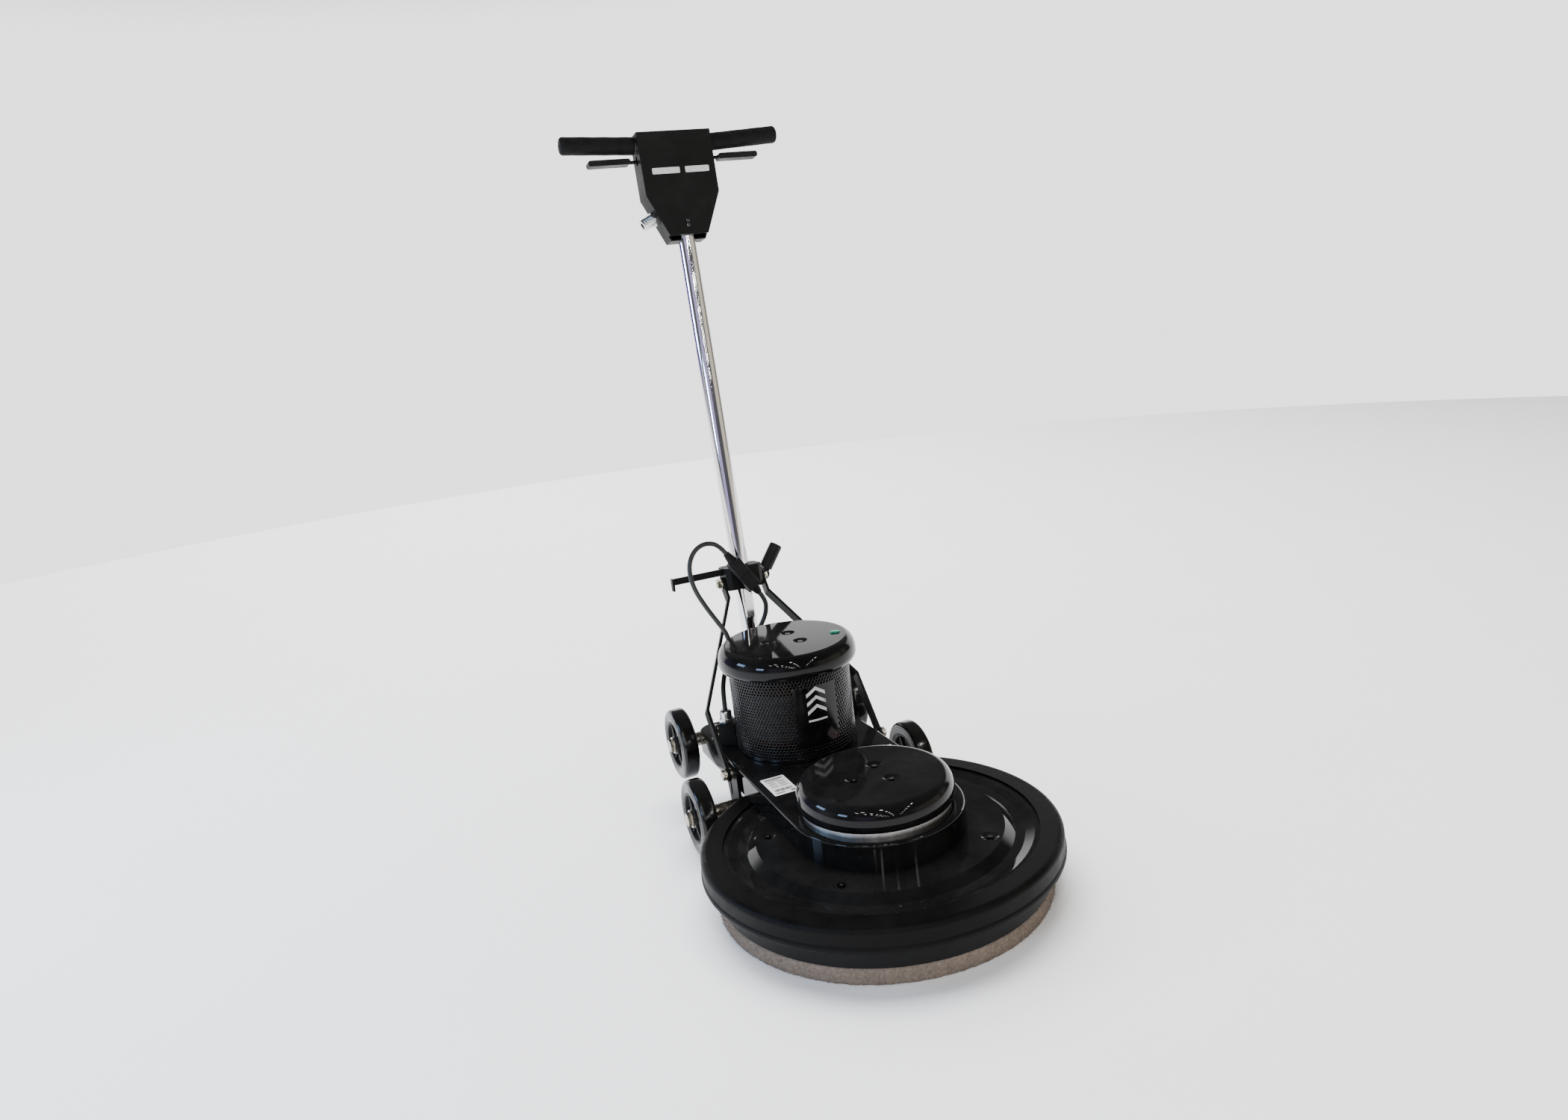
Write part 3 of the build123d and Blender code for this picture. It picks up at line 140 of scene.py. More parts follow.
LOOKS = {
    "gloss": surface("gloss_black", (0.0035, 0.0035, 0.0035), 0.06, spec=0.19,
                     grain=0.05, scale=90, spread=0.03, tint=(0.009, 0.009, 0.009)),
    "satin": surface("satin_black", (0.004, 0.004, 0.0038), 0.45, spec=0.08, grain=0.25,
                     scale=1100, tint=(0.009, 0.009, 0.0085)),
    "sleeve": surface("sleeve_black", (0.0025, 0.0025, 0.0025), 0.16, spec=0.26, grain=0.1,
                      scale=800, tint=(0.006, 0.006, 0.006)),
    "plastic": surface("black_plastic", (0.004, 0.004, 0.004), 0.42, spec=0.12, grain=0.2,
                       scale=1500, tint=(0.010, 0.010, 0.010)),
    "bumper": surface("bumper_rubber", (0.0018, 0.0018, 0.0018), 0.5, spec=0.08, grain=0.35,
                      scale=900, tint=(0.0042, 0.0040, 0.0038), tint_scale=22),
    "tyre": surface("wheel_black", (0.004, 0.004, 0.004), 0.16, spec=0.3, grain=0.12,
                    scale=300, tint=(0.008, 0.0075, 0.007), tint_scale=30),
    "grip": surface("grip_rubber", (0.004, 0.004, 0.0038), 0.7, spec=0.10, grain=0.4,
                    scale=1400, depth=0.0003, tint=(0.009, 0.009, 0.009), tint_scale=60),
    "lead": surface("lead_jacket", (0.008, 0.008, 0.008), 0.4, spec=0.4, grain=0.2,
                    scale=700, tint=(0.015, 0.015, 0.015), tint_scale=40),
    "belt": surface("belt_rubber", (0.013, 0.013, 0.012), 0.7, grain=0.4, scale=1200),
    "fibre": surface("pad_fibre", (0.235, 0.192, 0.155), 0.95, spec=0.05, grain=1.0, scale=420,
                     depth=0.0016, spread=0.04, tint=(0.13, 0.105, 0.085), tint_scale=210),
    "chrome": surface("chrome_tube", (0.80, 0.79, 0.80), 0.07, metal=1.0, grain=0.03,
                      scale=60, spread=0.03, tint=(0.70, 0.67, 0.66), stretch=(1, 1, 0.05)),
    "zinc": surface("zinc_steel", (0.50, 0.47, 0.41), 0.28, metal=1.0, grain=0.15,
                    scale=500, tint=(0.36, 0.33, 0.27), tint_scale=70),
    "screw": surface("dark_screw", (0.05, 0.05, 0.052), 0.22, metal=1.0, grain=0.2,
                     scale=400, tint=(0.03, 0.03, 0.032), tint_scale=120),
    "ring": surface("ring_steel", (0.82, 0.81, 0.79), 0.42, metal=1.0, grain=0.2,
                    scale=300, tint=(0.45, 0.43, 0.40), tint_scale=70, stretch=(1, 1, 0.05)),
    "fitting": surface("zinc_fitting", (0.70, 0.71, 0.71), 0.26, metal=1.0, grain=0.2,
                       scale=600, tint=(0.52, 0.52, 0.51), tint_scale=90),
    "core": surface("core_steel", (0.05, 0.048, 0.046), 0.5, metal=1.0, grain=0.5, scale=120,
                    tint=(0.03, 0.028, 0.026), stretch=(0.05, 0.05, 12)),
    "copper": surface("copper_windings", (0.040, 0.018, 0.010), 0.5, metal=1.0, grain=0.6,
                      scale=260, tint=(0.020, 0.010, 0.006), tint_scale=160),
    "cast": surface("cast_black", (0.012, 0.012, 0.012), 0.5, grain=0.5, scale=500,
                    depth=0.0004, tint=(0.02, 0.02, 0.019)),
    "lamp": surface("lamp_green", (0.0, 0.19, 0.10), 0.15, coat=0.6, grain=0.1, scale=900,
                    tint=(0.01, 0.28, 0.16), tint_scale=200),
    "paper": surface("label_paper", (0.72, 0.70, 0.69), 0.42, grain=0.05, scale=1500,
                     tint=(0.62, 0.60, 0.58), tint_scale=60),
    # Dark label ink for print, also used as the painted shade of the screw cross recesses.
    "ink": surface("label_ink_and_recess_shade", (0.02, 0.02, 0.02), 0.5, grain=0.05, scale=1500,
                   tint=(0.05, 0.05, 0.05), tint_scale=200),
    "red": surface("label_red", (0.45, 0.03, 0.03), 0.45, grain=0.05, scale=1500),
    "mark": surface("printed_mark", (0.60, 0.59, 0.57), 0.4, grain=0.1, scale=1200,
                    tint=(0.50, 0.49, 0.47), tint_scale=120),
}

NODE_LOOKS = {
    "gloss": ("deck_cover", "chassis_plate", "front_dome", "motor_cap", "motor_base"),
    "satin": (
        "switch_box_front", "switch_box_back", "yoke", "cord_hook", "strut_left",
        "strut_right", "wheel_brackets", "handle_bracket", "terminal_box",
    ),
    "sleeve": ("motor_sleeve",),
    "cast": ("end_bracket", "bearing_housings"),
    "plastic": (
        "pad_driver", "centre_lock", "cooling_fan", "line_switches", "cam_lever",
        "connector_plug", "connector_socket", "left_trigger", "right_trigger",
    ),
    "bumper": ("bumper_ring",),
    "belt": ("drive_belt",),
    "fibre": ("burnishing_pad",),
    "chrome": ("handle_tube", "tube_strap", "handlebar"),
    "ring": ("dome_ring",),
    "screw": ("cover_screws", "box_pins"),
    "zinc": (
        "front_axles", "axle_spacers", "rear_axle", "pivot_bolts",
        "yoke_pins", "motor_bolts", "ball_bearings", "spindle_shaft",
        "motor_shaft", "pad_pulley", "motor_pulley",
    ),
    "fitting": ("power_gland", "motor_gland"),
    "core": ("stator_core", "rotor_core"),
    "copper": ("stator_windings",),
    "lead": ("motor_lead", "switch_lead"),
    "grip": ("hand_grips",),
    "lamp": ("pilot_lamp",),
    "tyre": ("front_left_wheel", "front_right_wheel", "rear_left_wheel", "rear_right_wheel"),
}
for look, names in NODE_LOOKS.items():
    for node_name in names:
        for material_slot in nodes[node_name].material_slots:
            material_slot.link = "OBJECT"
            material_slot.material = LOOKS[look]


# ---------------------------------------------------------------- mesh helpers, in millimetres
X_AXIS, Y_AXIS, Z_AXIS = Vector((1, 0, 0)), Vector((0, 1, 0)), Vector((0, 0, 1))
LEAN = math.radians(6.0)
PIVOT = Vector((0, 463, 160))
UP_TUBE = Vector((0, math.sin(LEAN), math.cos(LEAN)))
BACKWARD = Vector((0, math.cos(LEAN), -math.sin(LEAN)))


def on_stem(x, v, u):
    """A point given across, behind and up the handle tube."""
    return PIVOT + Vector((x, 0, 0)) + UP_TUBE * u + BACKWARD * v


def place(name, verts, faces, look, body, slot, smooth=35.0, stands_for=()):
    """Makes a mesh piece from points in millimetres and hangs it on a CAD body."""
    mesh = bpy.data.meshes.new(name)
    mesh.from_pydata([Vector(v) * MM for v in verts], [], faces)
    work = bmesh.new()
    work.from_mesh(mesh)
    bmesh.ops.remove_doubles(work, verts=work.verts, dist=2e-6)
    bmesh.ops.recalc_face_normals(work, faces=work.faces)
    work.to_mesh(mesh)
    work.free()
    mesh.shade_smooth()
    mesh.set_sharp_from_angle(angle=math.radians(smooth))
    piece = bpy.data.objects.new(name, mesh)
    scene.collection.objects.link(piece)
    mesh.materials.append(LOOKS[look])
    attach(piece, body)
    if stands_for:
        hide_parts(*stands_for)
    return piece


def lathe(profile, origin, axis, steps=96, wobble=None):
    """Points and faces of a closed outline of (radius, height), turned about an axis."""
    axis = Vector(axis).normalized()
    side = axis.orthogonal().normalized()
    other = axis.cross(side)
    verts, faces = [], []
    count = len(profile)
    for i in range(steps):
        angle = 2 * math.pi * i / steps
        way = side * math.cos(angle) + other * math.sin(angle)
        for k, (radius, height) in enumerate(profile):
            r = radius + (wobble(i, k) if wobble else 0.0)
            verts.append(Vector(origin) + way * r + axis * height)
    for i in range(steps):
        j = (i + 1) % steps
        for k in range(count):
            m = (k + 1) % count
            if profile[k][0] == 0 and profile[m][0] == 0:
                continue
            faces.append((i * count + k, i * count + m, j * count + m, j * count + k))
    return verts, faces


def merged(parts):
    verts, faces = [], []
    for part_verts, part_faces in parts:
        base = len(verts)
        verts += part_verts
        faces += [tuple(base + n for n in face) for face in part_faces]
    return verts, faces


def slab(centre, along, across, thick, half_l, half_w, half_t, corner, segments=5):
    """Rounded rectangular plate with a small bevel on its outer face."""
    along, across, thick = (Vector(a).normalized() for a in (along, across, thick))
    outline = []
    for sx, sy, start in ((1, 1, 0), (-1, 1, 90), (-1, -1, 180), (1, -1, 270)):
        for s in range(segments + 1):
            a = math.radians(start + 90 * s / segments)
            outline.append((
                sx * (half_l - corner) + corner * math.cos(a),
                sy * (half_w - corner) + corner * math.sin(a),
            ))
    bevel = min(half_t, corner) * 0.35
    rings = [(-half_t, 0.0), (half_t - bevel, 0.0), (half_t, bevel)]
    verts = []
    for height, inset in rings:
        for x, y in outline:
            fx = x * (1 - inset / half_l)
            fy = y * (1 - inset / half_w)
            verts.append(Vector(centre) + along * fx + across * fy + thick * height)
    n = len(outline)
    faces = [tuple(range(n)), tuple(range(2 * n, 3 * n))]
    for ring in range(2):
        for i in range(n):
            j = (i + 1) % n
            faces.append((ring * n + i, ring * n + j, (ring + 1) * n + j, (ring + 1) * n + i))
    return verts, faces


# ---------------------------------------------------------------- leads
LEAD_DIAMETER = 0.0085
LEAD_SHARP_ANGLE = math.radians(50)
MOTOR_LEAD_ROUTE = [
    (-35.3, 455.3, 451.1), (-45.7, 457.1, 467.7), (-68, 453, 477), (-91, 448, 472),
    (-107, 443, 454), (-112, 439, 430), (-108, 434, 402), (-96, 428, 373), (-81, 421, 344),
    (-66, 408, 315), (-65, 407, 286), (-80, 398, 261), (-94, 382, 243), (-102.3, 366.4, 222),
    (-102.3, 366.4, 196.1),
]
SWITCH_LEAD_ROUTE = [
    (15.8, 446.8, 369.8), (25.6, 445.1, 354.3), (25.2, 446.8, 332), (16, 448.5, 312),
    (5, 452, 297), (0, 459, 284.5), (0, 470, 274),
]


def lead_spline(name, route):
    """NURBS centreline through the route's control points, in metres."""
    data = bpy.data.curves.new(name, "CURVE")
    data.dimensions = "3D"
    data.resolution_u = 12
    spline = data.splines.new("NURBS")
    spline.points.add(len(route) - 1)
    for point, place_mm in zip(spline.points, route):
        point.co = (*[c * MM for c in place_mm], 1.0)
    spline.order_u = 3
    spline.use_endpoint_u = True
    return data


def centreline(name, route):
    """Points read from the spline itself, close enough together to follow it."""
    data = lead_spline(name, route)
    holder = bpy.data.objects.new(name, data)
    scene.collection.objects.link(holder)
    points = [v.co.copy() for v in holder.to_mesh().vertices]
    holder.to_mesh_clear()
    bpy.data.objects.remove(holder)
    bpy.data.curves.remove(data)
    return points


def tube(points, radius, sides=20):
    """Round tube along points, with its section carried along without twisting."""
    verts, faces = [], []
    way = (points[1] - points[0]).normalized()
    side = way.orthogonal().normalized()
    for i, point in enumerate(points):
        ahead = points[min(i + 1, len(points) - 1)] - points[max(i - 1, 0)]
        way = ahead.normalized()
        side = (side - way * side.dot(way)).normalized()
        other = way.cross(side)
        for k in range(sides):
            a = 2 * math.pi * k / sides
            verts.append(point + radius * (side * math.cos(a) + other * math.sin(a)))
    for i in range(len(points) - 1):
        for k in range(sides):
            m = (k + 1) % sides
            base = i * sides
            faces.append((base + k, base + m, base + sides + m, base + sides + k))
    last = (len(points) - 1) * sides
    faces += [tuple(range(sides)), tuple(range(last, last + sides))]
    return verts, faces


motor_path = centreline("motor_flex_line", MOTOR_LEAD_ROUTE[::-1])
motor_verts, motor_faces = tube(motor_path, LEAD_DIAMETER / 2)
motor_mesh = bpy.data.meshes.new("motor_flex")
motor_mesh.from_pydata(motor_verts, [], motor_faces)
motor_mesh.shade_smooth()
motor_mesh.set_sharp_from_angle(angle=LEAD_SHARP_ANGLE)
motor_mesh.materials.append(LOOKS["lead"])
motor_flex = bpy.data.objects.new("motor_flex", motor_mesh)
scene.collection.objects.link(motor_flex)
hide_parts("motor_lead")
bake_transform(motor_flex)

switch_data = lead_spline("switch_flex", SWITCH_LEAD_ROUTE[::-1])
switch_data.bevel_depth = LEAD_DIAMETER / 2
switch_data.bevel_resolution = 6
switch_data.use_fill_caps = True
switch_data.materials.append(LOOKS["lead"])
switch_flex = bpy.data.objects.new("switch_flex", switch_data)
scene.collection.objects.link(switch_flex)
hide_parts("switch_lead")
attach(switch_flex, "handle")

# ---------------------------------------------------------------- perforated motor sleeve
SLEEVE_R = 103.5
SLEEVE_T = 1.5
MOTOR_Y = 300.0
HOLE_COLUMNS = 112
SLEEVE_BOTTOM = 136.2
SLEEVE_TOP = 294.8
HOLE_SHARE = 0.70
PANEL_HALF_ANGLE = math.radians(22)
PANEL_MIDDLE = math.radians(-88.5)
HOLED_ROWS_BELOW_PANEL = 4
HOLED_ROWS_ABOVE_PANEL = 5
RIM_STEPS = 160
RIM_HEIGHT = 5
TOP_RIM_Z = 289
SEAM_MIDDLE_Z = 215
SEAM_HALF_HEIGHT = 77
SEAM_HALF_WIDTH = 7


def sleeve_point(angle, z, radius=SLEEVE_R):
    return Vector((radius * math.cos(angle), MOTOR_Y + radius * math.sin(angle), z))


def perforated_sleeve():
    """Staggered six-sided holes all round, except on the plain panel at the front."""
    step = 2 * math.pi / HOLE_COLUMNS
    pitch = SLEEVE_R * step
    corner = pitch / math.sqrt(3)
    row_height = 1.5 * corner
    rows = int((SLEEVE_TOP - SLEEVE_BOTTOM - 2 * corner) / row_height)
    first = SLEEVE_BOTTOM + corner
    verts, faces = [], []
    for row in range(rows + 1):
        for column in range(HOLE_COLUMNS):
            angle = (column + (row % 2) / 2) * step
            z = first + row * row_height
            off = abs((angle - PANEL_MIDDLE + math.pi) % (2 * math.pi) - math.pi)
            panel_row = HOLED_ROWS_BELOW_PANEL < row < rows - HOLED_ROWS_ABOVE_PANEL
            plain = row in (0, rows) or (panel_row and off < PANEL_HALF_ANGLE)
            base = len(verts)
            for share in ((1.0,) if plain else (1.0, HOLE_SHARE)):
                for k in range(6):
                    a = math.pi / 2 + k * math.pi / 3
                    dx = share * corner * math.cos(a) / SLEEVE_R
                    verts.append(sleeve_point(angle + dx, z + share * corner * math.sin(a)))
            if plain:
                faces.append(tuple(range(base, base + 6)))
            else:
                for k in range(6):
                    m = (k + 1) % 6
                    faces.append((base + k, base + m, base + 6 + m, base + 6 + k))
    return verts, faces


sleeve = place(
    "perforated_sleeve", *perforated_sleeve(), "sleeve", "chassis", "satin_black_paint",
    stands_for=("motor_sleeve",),
)
wall = sleeve.modifiers.new("sheet_thickness", "SOLIDIFY")
wall.thickness = SLEEVE_T * MM
wall.offset = -1.0
RIM_OUTLINE = [(0, 0), (0.1, 0.4), (0.1, 4.4), (0, RIM_HEIGHT), (-1.7, RIM_HEIGHT), (-1.7, 0)]


def sleeve_rim(bottom):
    outline = [(SLEEVE_R + out, bottom + up) for out, up in RIM_OUTLINE]
    return lathe(outline, (0, MOTOR_Y, 0), Z_AXIS, RIM_STEPS)


seam = slab(
    (0, MOTOR_Y + SLEEVE_R - 0.2, SEAM_MIDDLE_Z), Z_AXIS, X_AXIS, Y_AXIS,
    SEAM_HALF_HEIGHT, SEAM_HALF_WIDTH, 0.5, 0.6,
)
rims = [sleeve_rim(SLEEVE_BOTTOM), sleeve_rim(TOP_RIM_Z), seam]
place("sleeve_rims", *merged(rims), "sleeve", "chassis", "satin_black_paint")

# ---------------------------------------------------------------- generic printed mark and stripes
MARK_BACK = 0.02
MARK_RAISE = 0.25
MARK_HALF_WIDTH = 17
CHEVRON_TOPS = (262, 247, 232)
CHEVRON_HEIGHT = 11
CHEVRON_STROKE = 6
CHEVRON_STRIPS = 8
BAR_BOTTOM = 203
BAR_HEIGHT = 3.2
BAR_STRIPS = 10


def wrapped(outline):
    """A flat outline of (across, height), wrapped on the panel as a thin printed layer."""
    n = len(outline)
    verts = []
    for radius in (SLEEVE_R + MARK_BACK, SLEEVE_R + MARK_RAISE):
        verts += [sleeve_point(PANEL_MIDDLE + x / SLEEVE_R, z, radius) for x, z in outline]
    faces = [tuple(range(n)), tuple(range(n, 2 * n))]
    faces += [(i, (i + 1) % n, n + (i + 1) % n, n + i) for i in range(n)]
    return verts, faces


def strip(x0, top0, x1, top1, deep):
    """A wrapped strip between two upright edges, each given by its place and its top."""
    return wrapped([(x0, top0), (x1, top1), (x1, top1 - deep), (x0, top0 - deep)])


def chevron(top):
    """A plain arrow head that points up, as short strips down each side."""
    parts = []
    for side in (-1, 1):
        for k in range(CHEVRON_STRIPS):
            a, b = k / CHEVRON_STRIPS, (k + 1) / CHEVRON_STRIPS
            parts.append(strip(
                side * MARK_HALF_WIDTH * a, top - CHEVRON_HEIGHT * a,
                side * MARK_HALF_WIDTH * b, top - CHEVRON_HEIGHT * b, CHEVRON_STROKE,
            ))
    return parts


mark_parts = []
for top in CHEVRON_TOPS:
    mark_parts += chevron(top)
bar_step = 2 * MARK_HALF_WIDTH / BAR_STRIPS
bar_top = BAR_BOTTOM + BAR_HEIGHT
for k in range(BAR_STRIPS):
    x0, x1 = -MARK_HALF_WIDTH + bar_step * k, -MARK_HALF_WIDTH + bar_step * (k + 1)
    mark_parts.append(strip(x0, bar_top, x1, bar_top, BAR_HEIGHT))
place("sleeve_mark", *merged(mark_parts), "mark", "chassis", "satin_black_paint")

# Two plain bars on the front of the switch box: (across, up the tube, half length).
BOX_STRIPES = ((-24, 963, 25), (33, 963, 22))
STRIPE_V = -22.05
STRIPE_HALF_HEIGHT = 5.2
STRIPE_HALF_THICK = 0.16
STRIPE_CORNER = 1.8
stripe_parts = [
    slab(
        on_stem(x, STRIPE_V, u), X_AXIS, UP_TUBE, -BACKWARD,
        half, STRIPE_HALF_HEIGHT, STRIPE_HALF_THICK, STRIPE_CORNER,
    )
    for x, u, half in BOX_STRIPES
]
place("box_stripes", *merged(stripe_parts), "mark", "handle", "satin_black_paint")

PLATE_TOP = 136.0
SHEET_MIDDLE, SHEET_HALF_THICK, SHEET_CORNER = 0.14, 0.12, 1.2
INK_MIDDLE, INK_HALF_THICK = 0.30, 0.05


def flat_label(name, centre, half_x, half_y, bars, bar_look):
    """A paper label on the chassis plate with bars of (across, along, half width, half height)."""
    sheet = slab(
        (*centre, PLATE_TOP + SHEET_MIDDLE), X_AXIS, Y_AXIS, Z_AXIS,
        half_x, half_y, SHEET_HALF_THICK, SHEET_CORNER,
    )
    place(name, *sheet, "paper", "chassis", "gloss_black_paint")
    parts = [
        slab(
            (centre[0] + x, centre[1] + y, PLATE_TOP + INK_MIDDLE), X_AXIS, Y_AXIS, Z_AXIS,
            half_w, half_h, INK_HALF_THICK, min(half_w, half_h) * 0.5,
        )
        for x, y, half_w, half_h in bars
    ]
    place(name + "_bars", *merged(parts), bar_look, "chassis", "gloss_black_paint")


rating_bars = [(0, 27, 15, 2.0), (-3, 21, 12, 1.1)]
rating_bars += [(-8 + 16 * (k % 2), 15 - 6 * (k // 2), 6.2, 1.1) for k in range(8)]
rating_bars += [(-14 + 2.8 * k, -17, 0.7 + 0.3 * (k % 3), 4.5) for k in range(11)]
rating_bars += [(-8, -27, 8, 1.6), (13, -27, 4, 2.2)]
flat_label("rating_label", (-98, 144), 20, 34, rating_bars, "ink")
notice_bars = [(0, 22, 18, 3.4)]
notice_bars += [(-4, 12 - 5 * k, 12 - 2 * (k % 2), 0.8) for k in range(7)]
flat_label("notice_label", (98, 150), 21, 28, notice_bars, "red")


# ---------------------------------------------------------------- wheels
WHEEL_R = 63.5
WHEEL_HALF_WIDTH = 14.4
SHOULDER_R = 7.0
FRONT_WHEEL = (200, 264, WHEEL_R)
REAR_WHEEL = (167, 447, 123)
TYRE_STEPS, HUB_STEPS, SEAL_STEPS = 120, 96, 64
def tyre_outline():
    """Quarter-round shoulders, a flat tread and two moulded rings on each sidewall."""
    side = [(43.2, 13.4), (45.0, 14.3), (47.6, 14.3), (48.2, 14.8), (49.4, 14.8), (50.0, 14.3),
            (53.0, 14.4), (53.5, 14.8), (54.4, 14.8), (54.9, 14.3)]
    inner_r, inner_h = WHEEL_R - SHOULDER_R, WHEEL_HALF_WIDTH - SHOULDER_R
    shoulder = [
        (inner_r + SHOULDER_R * math.sin(math.radians(a)),
         inner_h + SHOULDER_R * math.cos(math.radians(a)))
        for a in range(0, 91, 10)
    ]
    half = side + shoulder
    return half + [(r, -h) for r, h in reversed(half)]


HUB_HALF = [
    (8.3, 14.0), (11.5, 14.0), (12.2, 13.4), (16.2, 13.4), (17.2, 12.4), (17.8, 8.6),
    (19.0, 7.4), (35.6, 7.4), (37.2, 8.4), (38.2, 12.6), (39.0, 13.6), (43.1, 13.6),
]
HUB_OUTLINE = HUB_HALF + [(r, -h) for r, h in reversed(HUB_HALF)]
SPOKES = 6
SPOKE_MIDDLE_R, SPOKE_OUT = 27.5, 8.6
SPOKE_HALF_SIZES = (10.4, 2.0, 2.4)
SEAL_START = 13.5
SEAL_OUTLINE = [(9.2, 0), (14.6, 0), (14.6, 0.35), (12.6, 0.6), (10.4, 0.35), (9.2, 0.35)]


def add_wheel(body, centre):
    tyre = lathe(tyre_outline(), centre, X_AXIS, TYRE_STEPS)
    place(body + "_tyre", *tyre, "tyre", body, "wheel_black", stands_for=(body,))
    parts = [lathe(HUB_OUTLINE, centre, X_AXIS, HUB_STEPS)]
    for k in range(SPOKES):
        angle = 2 * math.pi * k / SPOKES
        out = Vector((0, math.cos(angle), math.sin(angle)))
        for side in (-1, 1):
            middle = Vector(centre) + out * SPOKE_MIDDLE_R + X_AXIS * side * SPOKE_OUT
            across = out.cross(X_AXIS)
            parts.append(slab(middle, out, across, X_AXIS * side, *SPOKE_HALF_SIZES, 0.8))
    place(body + "_hub", *merged(parts), "plastic", body, "wheel_black")
    seals = []
    for side in (-1, 1):
        start = Vector(centre) + X_AXIS * side * SEAL_START
        seals.append(lathe(SEAL_OUTLINE, start, X_AXIS * side, SEAL_STEPS))
    place(body + "_seals", *merged(seals), "zinc", body, "wheel_black")


for hand, x_sign in (("left", -1), ("right", 1)):
    for end, (x, y, z) in (("front", FRONT_WHEEL), ("rear", REAR_WHEEL)):
        add_wheel(f"{end}_{hand}_wheel", (x_sign * x, y, z))

# ---------------------------------------------------------------- foam grips
BAR_RISE = math.radians(3.0)
BAR_U = 1009.0
GRIP_BORE_R = 11.05
GRIP_LIP = [(GRIP_BORE_R, 69), (13.6, 69), (14.6, 69.8), (15.0, 71.4)]
GRIP_R, GRIP_WAVE = 14.8, 0.12
GRIP_START, GRIP_STEP, GRIP_RINGS = 74, 2.4, 49
DOME_START, DOME_R, DOME_H, DOME_FLAT_R = 192.7, 5.3, 5.2, 9.5
GRIP_END = [(2.4, 197.9), (2.0, 197.2), (0, 197.2), (0, 190.6), (GRIP_BORE_R, 190.6)]


def add_grip(side):
    """Foam sleeve with a rolled inner lip, a domed end and slight waviness."""
    way = Vector((side * math.cos(BAR_RISE), 0, 0)) + UP_TUBE * math.sin(BAR_RISE)
    body = [
        (GRIP_R + GRIP_WAVE * math.sin(0.4 * k), GRIP_START + GRIP_STEP * k)
        for k in range(GRIP_RINGS)
    ]
    dome = [
        (DOME_FLAT_R + DOME_R * math.cos(math.radians(a)),
         DOME_START + DOME_H * math.sin(math.radians(a)))
        for a in range(0, 91, 10)
    ]
    outline = GRIP_LIP + body + dome + GRIP_END
    part = lathe(outline, on_stem(0, 0, BAR_U), way, 72)
    stands_for = ("hand_grips",) if side < 0 else ()
    name = "left_grip" if side < 0 else "right_grip"
    place(name, *part, "grip", "handle", "grip_rubber", stands_for=stands_for)


add_grip(-1)
add_grip(1)

# ---------------------------------------------------------------- burnishing pad
rng = random.Random(17)
PAD_STEPS = 420
PAD_EDGE_R = 245
STRANDS = 6500
STRAND_ROOT_R = 249.6
PAD_OUTLINE = [(0, 0.0), (120, 0.0), (246, 0.0), (249.6, 0.6), (250.6, 3)]
PAD_OUTLINE += [(250.9, 3 + 2.2 * k) for k in range(1, 9)]
PAD_OUTLINE += [(250.4, 22.6), (248.5, 24.6), (244, 24.9), (38, 24.9), (38, 9), (0, 9)]
tufts = [[rng.uniform(-1.0, 0.7) for _ in PAD_OUTLINE] for _ in range(PAD_STEPS)]


def pad_wobble(i, k):
    return tufts[i][k] if PAD_OUTLINE[k][0] > PAD_EDGE_R else 0.0


pad_core = lathe(PAD_OUTLINE, (0, 0, 0), Z_AXIS, PAD_STEPS, pad_wobble)
place("pad_web", *pad_core, "fibre", "pad_drive", "pad_fibre", smooth=70,
      stands_for=("burnishing_pad",))


def pad_fibres(count):
    """Short bent fibres that stand out of the pad's edge, as thin three-sided strands."""
    verts, faces = [], []
    for _ in range(count):
        angle = rng.uniform(0, 2 * math.pi)
        out = Vector((math.cos(angle), math.sin(angle), 0))
        around = Vector((-math.sin(angle), math.cos(angle), 0))
        z = rng.uniform(1.2, 23.4)
        lean = around * rng.uniform(-2.6, 2.6) + Z_AXIS * rng.uniform(-1.0, 1.0)
        root = out * STRAND_ROOT_R + Z_AXIS * z
        bend = out * rng.uniform(251.0, 252.4) + Z_AXIS * z + lean * 0.6
        tip = out * rng.uniform(251.2, 253.5) + Z_AXIS * z + lean
        radius = rng.uniform(0.10, 0.2)
        base = len(verts)
        for centre, r in ((root, radius), (bend, radius), (tip, radius * 0.5)):
            for k in range(3):
                a = 2 * math.pi * k / 3
                verts.append(centre + around * r * math.cos(a) + Z_AXIS * r * math.sin(a))
        for ring in (0, 3):
            low = base + ring
            for k in range(3):
                m = (k + 1) % 3
                faces.append((low + k, low + m, low + 3 + m, low + 3 + k))
        faces.append((base + 6, base + 7, base + 8))
    return verts, faces


place("pad_strands", *pad_fibres(STRANDS), "fibre", "pad_drive", "pad_fibre")

# ---------------------------------------------------------------- fitting threads and boot ribs
GLAND_AXIS = Vector((-0.91193, -0.042895, -0.408122))
GLAND_BASE = Vector((-51.25, 555.821, 1043.136))
THREADS, THREAD_START, THREAD_PITCH = 7, 8, 2.4
RIDGE_OUTLINE = [(9.9, 0), (10.5, 0.5), (10.5, 1.0), (9.9, 1.5)]
thread_parts = []
for k in range(THREADS):
    start = GLAND_BASE + GLAND_AXIS * (THREAD_START + THREAD_PITCH * k)
    thread_parts.append(lathe(RIDGE_OUTLINE, start, GLAND_AXIS, 64))
place("gland_ridges", *merged(thread_parts), "fitting", "handle", "zinc_fitting")

